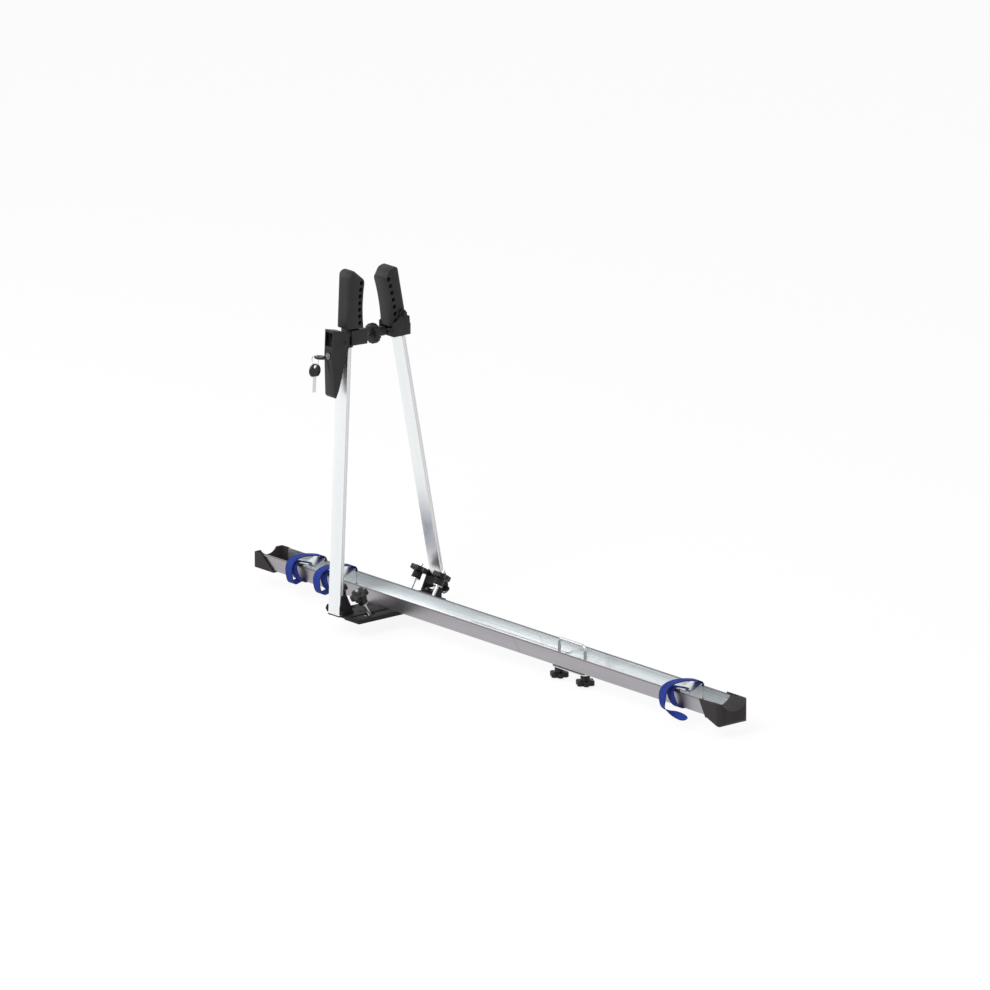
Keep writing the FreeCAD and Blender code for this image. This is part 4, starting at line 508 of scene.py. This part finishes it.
NODE_FINISHES = {
    RAIL: ["rail_rear", "rail_front"],
    ARMS: ["near_arm", "far_arm"],
    SADDLE_ZINC: ["rear_saddle", "mid_saddle", "front_saddle", "rail_joiner"],
    PLATE_ZINC: ["clamp_plate"],
    WIRE_ZINC: ["near_u_bolt", "far_u_bolt", "front_u_bolt", "clamp_rod"],
    SMALL_ZINC: ["joiner_screws", "joiner_nuts", "rail_bolts", "rail_bolt_nuts",
                 "bracket_bolts", "near_clamp_washers", "far_clamp_washers",
                 "front_clamp_washers", "rod_nut", "key_ring"],
    BLACK_BASE: ["base_plate", "near_arm_bracket", "far_arm_bracket", "near_arm_foot",
                 "far_arm_foot", "near_pivot_bolt", "far_pivot_bolt", "pivot_nuts"],
    CAP_RUBBER: ["front_end_cap", "rear_end_cap", "end_cap_rivets"],
    JAW_RUBBER: ["near_jaw", "far_jaw", "near_jaw_bracket", "far_jaw_bracket"],
    LEVER_PLASTIC: ["lock_lever", "lever_barrel", "far_barrel", "jaw_pivot_bolt",
                    "jaw_pivot_nut", "adjuster_sleeve"],
    KNOB_PLASTIC: ["near_rear_knob", "near_front_knob", "far_rear_knob", "far_front_knob",
                   "front_clamp_rear_knob", "front_clamp_front_knob", "adjuster_knob"],
    PAD_RUBBER: ["base_pad"],
    NICKEL: ["lock_key", "spare_key"],
    DULL_NICKEL: ["lock_cylinder"],
}
for finish, nodes in NODE_FINISHES.items():
    for node in nodes:
        wear(frame["nodes"][node], finish)


# moulded pieces, with the edges and tops that a mould leaves

EDGE_RADII = {"base_plate": 0.0006, "near_arm_bracket": 0.0006, "far_arm_bracket": 0.0006,
              "front_end_cap": 0.0012, "rear_end_cap": 0.0010, "near_jaw_bracket": 0.0010,
              "far_jaw_bracket": 0.0010, "lock_lever": 0.0010}
MOULDED_FROM = math.radians(30)
JAW_EDGE = 0.0012
JAW_TOP_ZONE = 0.030
DOME_STEPS = (15, 32, 49, 66, 82)


def held_copy(node):
    """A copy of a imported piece, with its triangles joined into flat faces, in edit mode."""
    piece = copy_of(frame["nodes"][node], node + "_moulded")
    hold(piece)
    merge_all()
    bpy.ops.mesh.dissolve_limited(angle_limit=FLAT_WITHIN)
    return piece


def moulded(node, radius):
    """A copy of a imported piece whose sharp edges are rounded."""
    piece = held_copy(node)
    let_go()
    round_edges(piece, radius, sharp_from=MOULDED_FROM)
    smooth(piece, 40)
    carried(piece, node)


def domed(node, side, radius, drop=0, inner_cuts=()):
    """A copy of a jaw cut to a round top, with softened edges.

    The outer corner is cut to a radius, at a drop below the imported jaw's top. Each inner cut
    is the way from the inner face, the way below the top and the slope of one more plane."""
    piece = held_copy(node)
    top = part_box(node)[1][2]
    drawn = bmesh.from_edit_mesh(piece.data)
    outer = max(side * v.co.y for v in drawn.verts if v.co.z > top - radius)
    inner = min(side * v.co.y for v in drawn.verts if v.co.z > top - JAW_TOP_ZONE)
    planes = [(inner + inwards, top - below, 90 + slope)
              for inwards, below, slope in inner_cuts]
    for degrees in DOME_STEPS:
        rise = math.radians(degrees)
        planes.append((outer - radius + radius * math.cos(rise),
                       top - drop - radius + radius * math.sin(rise), degrees))
    for out, height, degrees in planes:
        rise = math.radians(degrees)
        normal = Vector((0, side * math.cos(rise), math.sin(rise)))
        bpy.ops.mesh.select_all(action="SELECT")
        bpy.ops.mesh.bisect(plane_co=(0, side * out, height), plane_no=normal, use_fill=True,
                            clear_outer=True)
    let_go()
    round_edges(piece, JAW_EDGE)
    smooth(piece, 40)
    carried(piece, node)


for node, radius in EDGE_RADII.items():
    moulded(node, radius)
domed("near_jaw", -1, 0.017)
domed("far_jaw", 1, 0.014, 0.0045, ((0, 0.018, 32), (0.014, 0.0092, 18), (0.024, 0.0060, 6)))


# knobs

KNOB_THICK = 0.010
KNOB_BORE = 0.0033
KNOB_CORE = 0.0125
KNOB_EDGE = 0.0014
BASE_KNOB_HUB = 0.014
BASE_KNOB_MIDDLE = 0.019
FRONT_KNOB_HUB = 0.0094


def star_knob(name, hub):
    """A six-lobed clamp knob with a tapered hub and a raised ring round its bolt."""
    top = hub + KNOB_THICK
    profile = [(KNOB_BORE, 0), (0.0090, 0), (0.0095, 0.0008), (0.0088, hub - 0.0020),
               (0.0104, hub), (KNOB_CORE, hub + 0.0006), (KNOB_CORE, top),
               (0.0088, top + 0.0001), (0.0080, top - 0.0012), (0.0064, top - 0.0012),
               (0.0060, top + 0.0003), (KNOB_BORE, top + 0.0003)]
    lobes = {"steps": (5, 7), "factors": (1.472, 1.443, 1.350, 1.163, 0.985)}
    piece = turned(name, profile, 48, lobes)
    round_edges(piece, KNOB_EDGE, segments=3, sharp_from=math.radians(48))
    smooth(piece, 50)
    wear(piece, KNOB_PLASTIC)
    return piece


def make_knobs():
    base_knob = star_knob("near_rear_star", BASE_KNOB_HUB)
    front_knob = star_knob("front_clamp_rear_star", FRONT_KNOB_HUB)
    places = []
    for side in ("near", "far"):
        for hand in ("rear", "front"):
            joint = JOINTS[f"{side}_{hand}_knob_spin"]
            axis = Vector(joint["axis"])
            place = Vector(joint["pos_m"]) - axis * BASE_KNOB_MIDDLE
            places.append((f"{side}_{hand}", base_knob, place, axis))
    for hand in ("rear", "front"):
        joint = JOINTS[f"front_clamp_{hand}_knob_spin"]
        place = Vector((joint["pos_m"][0], 0, FRONT_HUB_TOP))
        places.append((f"front_clamp_{hand}", front_knob, place, Vector(joint["axis"])))
    # each modelled knob is copied before it moves to the first place of its kind
    for label, model, place, axis in places[1:4] + places[5:]:
        carried(stood(copy_of(model, label + "_star"), place, axis), label + "_knob")
    for label, model, place, axis in (places[0], places[4]):
        carried(stood(model, place, axis), label + "_knob")


def make_adjuster():
    """The ribbed knob on the rod, fuller in its middle than at its ends."""
    bore, face, long = 0.0037, 0.0118, ADJUSTER_LONG
    profile = [(bore, 0), (face, 0), (0.0150, 0.0006), (0.0174, 0.0018), (0.0184, 0.0045),
               (ADJUSTER_RADIUS, long / 2), (0.0184, long - 0.0045), (0.0174, long - 0.0018),
               (0.0150, long - 0.0006), (face, long), (bore, long)]
    lobes = {"steps": (3, 8), "factors": (1.078, 1.050, 1.0, 0.985)}
    piece = turned("ribbed_adjuster", profile, 108, lobes)
    smooth(piece, 40)
    wear(piece, KNOB_PLASTIC)
    stood(piece, Vector((ARM_CENTRE, ADJUSTER_START, ROD_HEIGHT)), (0, 1, 0))
    carried(piece, "adjuster_knob")


make_knobs()
make_adjuster()


# keys

COVER_THICKER = 1.75
COVER_WIDER = 1.04
COVER_EDGE = 0.0008


def key_cover(name, node, centre, edge, away, thick_axis):
    """A plastic cover over a key's bow, cut from the key's own outline past an edge."""
    source = frame["nodes"][node]
    piece = copy_of(source, name)
    hold(piece)
    merge_all()
    bpy.ops.mesh.bisect(plane_co=edge, plane_no=away, use_fill=True, clear_inner=True)
    bpy.ops.mesh.select_all(action="SELECT")
    growth = Vector((COVER_WIDER, 1.0, COVER_WIDER))
    growth[thick_axis] = COVER_THICKER
    bpy.ops.transform.resize(value=growth, center_override=centre)
    bpy.ops.mesh.dissolve_limited(angle_limit=FLAT_WITHIN)
    let_go()
    round_edges(piece, COVER_EDGE)
    smooth(piece, 40)
    wear(piece, KEY_PLASTIC)
    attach(piece, body_of(source)[0])


def make_key_covers():
    out = in_near_arm(-1, 0) - in_near_arm(0, 0)
    down = in_near_arm(0, -1) - in_near_arm(0, 0)
    bow = in_near_arm(KEY_BOW_OUT, LOCK_HEIGHT)
    key_cover("lock_key_cover", "lock_key", bow, bow - out * 0.0100, out, 2)
    low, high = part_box("spare_key")
    spare_bow = Vector(((low[0] + high[0]) / 2, (low[1] + high[1]) / 2 - 0.0010,
                        high[2] - 0.0130))
    key_cover("spare_key_cover", "spare_key", spare_bow, spare_bow + down * 0.0105, -down, 0)


make_key_covers()


# straps

WEBBING_HALF = 0.010
WEBBING_THICK = 0.0016
WEBBING_EDGE = 0.0004
STRAPS = {"rear": {"place": -0.255, "loop": 0.018, "slant": 0.019},
          "mid": {"place": -0.163, "loop": 0.0255, "slant": 0.012},
          "front": {"place": 0.850, "loop": 0.0255, "slant": 0.019}}

# the share of its strap's slant by which each point of the inner turn is swept forwards
INNER_SWEEP = {3: 0.10, 4: 0.32, 5: 0.62, 6: 0.88, 7: 1.0, 8: 0.95, 9: 0.25}

# the free tail leaves the outer turn at this point; each of its steps is a place, measured
# from the middle of its strap, and the way to one edge there
TAIL_LEAVES_AT = 20
TAIL = (((-0.0020, -0.0562, 0.0064), (0.0088, -0.0030, 0.0020)),
        ((0.0035, -0.0535, 0.0030), (0.0060, -0.0052, 0.0026)),
        ((0.0100, -0.0500, 0.0004), (0.0026, -0.0062, 0.0016)),
        ((0.0180, -0.0480, -0.0016), (0.0008, -0.0064, -0.0022)),
        ((0.0280, -0.0466, -0.0034), (0.0004, -0.0048, -0.0052)),
        ((0.0390, -0.0460, -0.0046), (0.0002, -0.0036, -0.0064)),
        ((0.0495, -0.0458, -0.0046), (0.0002, -0.0032, -0.0052)),
        ((0.0575, -0.0458, -0.0038), (0.0000, -0.0016, -0.0018)))


def strap_points(loop, slant):
    """The webbing's route across the rail, from the saddle's dip to its free end."""
    route = ((0.0054, 0.0324), (-0.0122, 0.0368), (-0.0305, 0.0444), (-0.0409, 0.0408),
             (-0.0430, 0.0300), (-0.0420, 0.0177), (-0.0378, 0.0094), (-RAIL_HALF, 0.0065),
             (-0.0240, 0.0066), (0.0240, 0.0066), (0.0335, 0.0065), (0.0370, 0.0130),
             (0.0374, 0.0270), (0.0350, 0.0420), (0.0211, 0.0452), (0, 0.0499),
             (-0.0230, 0.0519), (-RAIL_HALF - 0.57 * loop, 0.0485),
             (-RAIL_HALF - 0.98 * loop, 0.0365), (-RAIL_HALF - loop, 0.0230),
             (-RAIL_HALF - 0.84 * loop, 0.0068), (-RAIL_HALF - 0.50 * loop, -0.0016),
             (-0.0310, 0.0032), (-0.0200, 0.0042), (0.0130, 0.0044))
    return [Vector((slant * INNER_SWEEP.get(index, 0), y, z))
            for index, (y, z) in enumerate(route)]


def with_free_tail(points, edges):
    """A strap's route and edges with its outer turn ending in a tail that hangs free."""
    return (points[:TAIL_LEAVES_AT] + [Vector(place) for place, edge in TAIL],
            edges[:TAIL_LEAVES_AT] + [Vector(edge) for place, edge in TAIL])


def webbing(name, points, edges):
    """Webbing drawn out along a route, with the way from its middle to its edge at each point."""
    bpy.ops.object.select_all(action="DESELECT")
    bpy.ops.mesh.primitive_plane_add(size=2 * WEBBING_HALF, location=points[0])
    piece = named(name)
    settle(piece)
    hold(piece)
    pick(piece, "verts", lambda v: v.co.y > points[0].y)
    bpy.ops.mesh.delete(type="VERT")
    pick(piece, "verts", lambda v: True)
    bpy.ops.transform.translate(value=(0, WEBBING_HALF, 0))
    runs = [0.0]
    for before, after in zip(points, points[1:]):
        bpy.ops.mesh.extrude_region_move(TRANSFORM_OT_translate={"value": after - before})
        runs.append(runs[-1] + (after - before).length)
    drawn = bmesh.from_edit_mesh(piece.data)
    layer = drawn.loops.layers.uv.new("band")
    order = sorted(drawn.verts, key=lambda v: v.index)
    for index, point in enumerate(points):
        for vertex in order[2 * index:2 * index + 2]:
            side = 1 if vertex.co.x > point.x else -1
            for corner in vertex.link_loops:
                corner[layer].uv = (runs[index], side * WEBBING_HALF)
            vertex.co = point + edges[index] * side
    bmesh.update_edit_mesh(piece.data)
    let_go()
    finish_with(piece, "SUBSURF", levels=3, render_levels=3)
    finish_with(piece, "SOLIDIFY", thickness=WEBBING_THICK, offset=0.0)
    round_edges(piece, WEBBING_EDGE)
    smooth(piece, 50)
    wear(piece, WEBBING)
    return piece


def make_webbing():
    for name, strap in STRAPS.items():
        points = strap_points(strap["loop"], strap["slant"])
        edges = [Vector((WEBBING_HALF, 0, 0))] * len(points)
        if name == "front":
            points, edges = with_free_tail(points, edges)
        shift = Vector((strap["place"], 0, 0))
        piece = webbing(name + "_webbing", [point + shift for point in points], edges)
        carried(piece, name + "_strap")


make_webbing()


# studio

WHITE = (1, 1, 1, 1)
ROOM_LIGHT = 0.55
FLOOR_GREY = (0.86, 0.86, 0.86, 1)
FLOOR_GLOW = 1.04
FLOOR_GLOW_SHARE = 0.86
LAMPS = {"key": {"place": (1.2, -2.6, 2.6), "aim": (0.3, 0, 0.2), "width": 1.8, "watts": 70},
         "fill": {"place": (-2.4, -1.4, 1.8), "aim": (0.1, 0, 0.2), "width": 2.4, "watts": 28}}

VIEW_AZIMUTH = math.radians(50)
VIEW_ELEVATION = math.radians(15.7)
VIEW_TARGET = Vector((0.2979, 0, 0.2870))
VIEW_DISTANCE = 28.0
VIEW_WIDTH = 1.8623
SENSOR = 36


def worked_out(tree, operation, first, second):
    """A Math node on a socket and a second socket or number."""
    made = tree.nodes.new("ShaderNodeMath")
    made.operation = operation
    tree.links.new(first, made.inputs[0])
    if isinstance(second, float):
        made.inputs[1].default_value = second
    else:
        tree.links.new(second, made.inputs[1])
    return made.outputs[0]


def light_source(tree, kind, colour, strength=None):
    made = tree.nodes.new(kind)
    made.inputs["Color"].default_value = colour
    if strength is not None:
        made.inputs["Strength"].default_value = strength
    return made.outputs[0]


def blend_to_output(tree, share, first, second, output):
    """Mix two shaders by a share and end the tree there."""
    choice = tree.nodes.new("ShaderNodeMixShader")
    for index, socket in enumerate((share, first, second)):
        tree.links.new(socket, choice.inputs[index])
    end = tree.nodes.new(output)
    tree.links.new(choice.outputs[0], end.inputs["Surface"])


def light_room():
    """Soft white light from all round, behind which the background is plain white."""
    world = bpy.data.worlds.new("studio")
    bpy.context.scene.world = world
    world.use_nodes = True
    tree = world.node_tree
    tree.nodes.clear()
    rays = tree.nodes.new("ShaderNodeLightPath").outputs
    seen = worked_out(tree, "MAXIMUM", rays["Is Camera Ray"], rays["Is Glossy Ray"])
    clear = worked_out(tree, "MAXIMUM", seen, rays["Is Transmission Ray"])
    blend_to_output(tree, clear,
                    light_source(tree, "ShaderNodeBackground", WHITE, ROOM_LIGHT),
                    light_source(tree, "ShaderNodeBackground", WHITE, 1.0),
                    "ShaderNodeOutputWorld")


def lay_floor():
    """A pale floor that keeps the carrier's shadow and meets the background without an edge."""
    bpy.ops.object.select_all(action="DESELECT")
    bpy.ops.mesh.primitive_plane_add(size=40, location=(0.3, 0, FLOOR_LEVEL))
    floor = named("floor")
    pale = bpy.data.materials.new("pale_floor")
    pale.use_nodes = True
    tree = pale.node_tree
    tree.nodes.clear()
    rays = tree.nodes.new("ShaderNodeLightPath").outputs
    seen = worked_out(tree, "MAXIMUM", rays["Is Camera Ray"], rays["Is Glossy Ray"])
    blend_to_output(tree, worked_out(tree, "MULTIPLY", seen, FLOOR_GLOW_SHARE),
                    light_source(tree, "ShaderNodeBsdfDiffuse", FLOOR_GREY),
                    light_source(tree, "ShaderNodeEmission", WHITE, FLOOR_GLOW),
                    "ShaderNodeOutputMaterial")
    floor.data.materials.append(pale)


def hang_lamp(name, place, aim, width, watts):
    data = bpy.data.lights.new(name, "AREA")
    data.shape = "DISK"
    data.size = width
    data.energy = watts
    lamp = bpy.data.objects.new(name, data)
    bpy.context.scene.collection.objects.link(lamp)
    lamp.location = place
    lamp.rotation_mode = "QUATERNION"
    lamp.rotation_quaternion = (Vector(aim) - Vector(place)).to_track_quat("-Z", "Y")


def set_camera():
    """The photograph's view: a long lens from the front left, a little above."""
    level = math.cos(VIEW_ELEVATION)
    back = Vector((math.sin(VIEW_AZIMUTH) * level, -math.cos(VIEW_AZIMUTH) * level,
                   math.sin(VIEW_ELEVATION)))
    data = bpy.data.cameras.new("camera")
    data.sensor_width = SENSOR
    data.lens = SENSOR * VIEW_DISTANCE / VIEW_WIDTH
    data.clip_start, data.clip_end = 1.0, 200.0
    camera = bpy.data.objects.new("camera", data)
    bpy.context.scene.collection.objects.link(camera)
    camera.location = VIEW_TARGET + back * VIEW_DISTANCE
    camera.rotation_mode = "QUATERNION"
    camera.rotation_quaternion = back.to_track_quat("Z", "Y")
    bpy.context.scene.camera = camera


light_room()
lay_floor()
for name, lamp in LAMPS.items():
    hang_lamp(name, **lamp)
set_camera()
bpy.context.scene.view_settings.view_transform = "Standard"
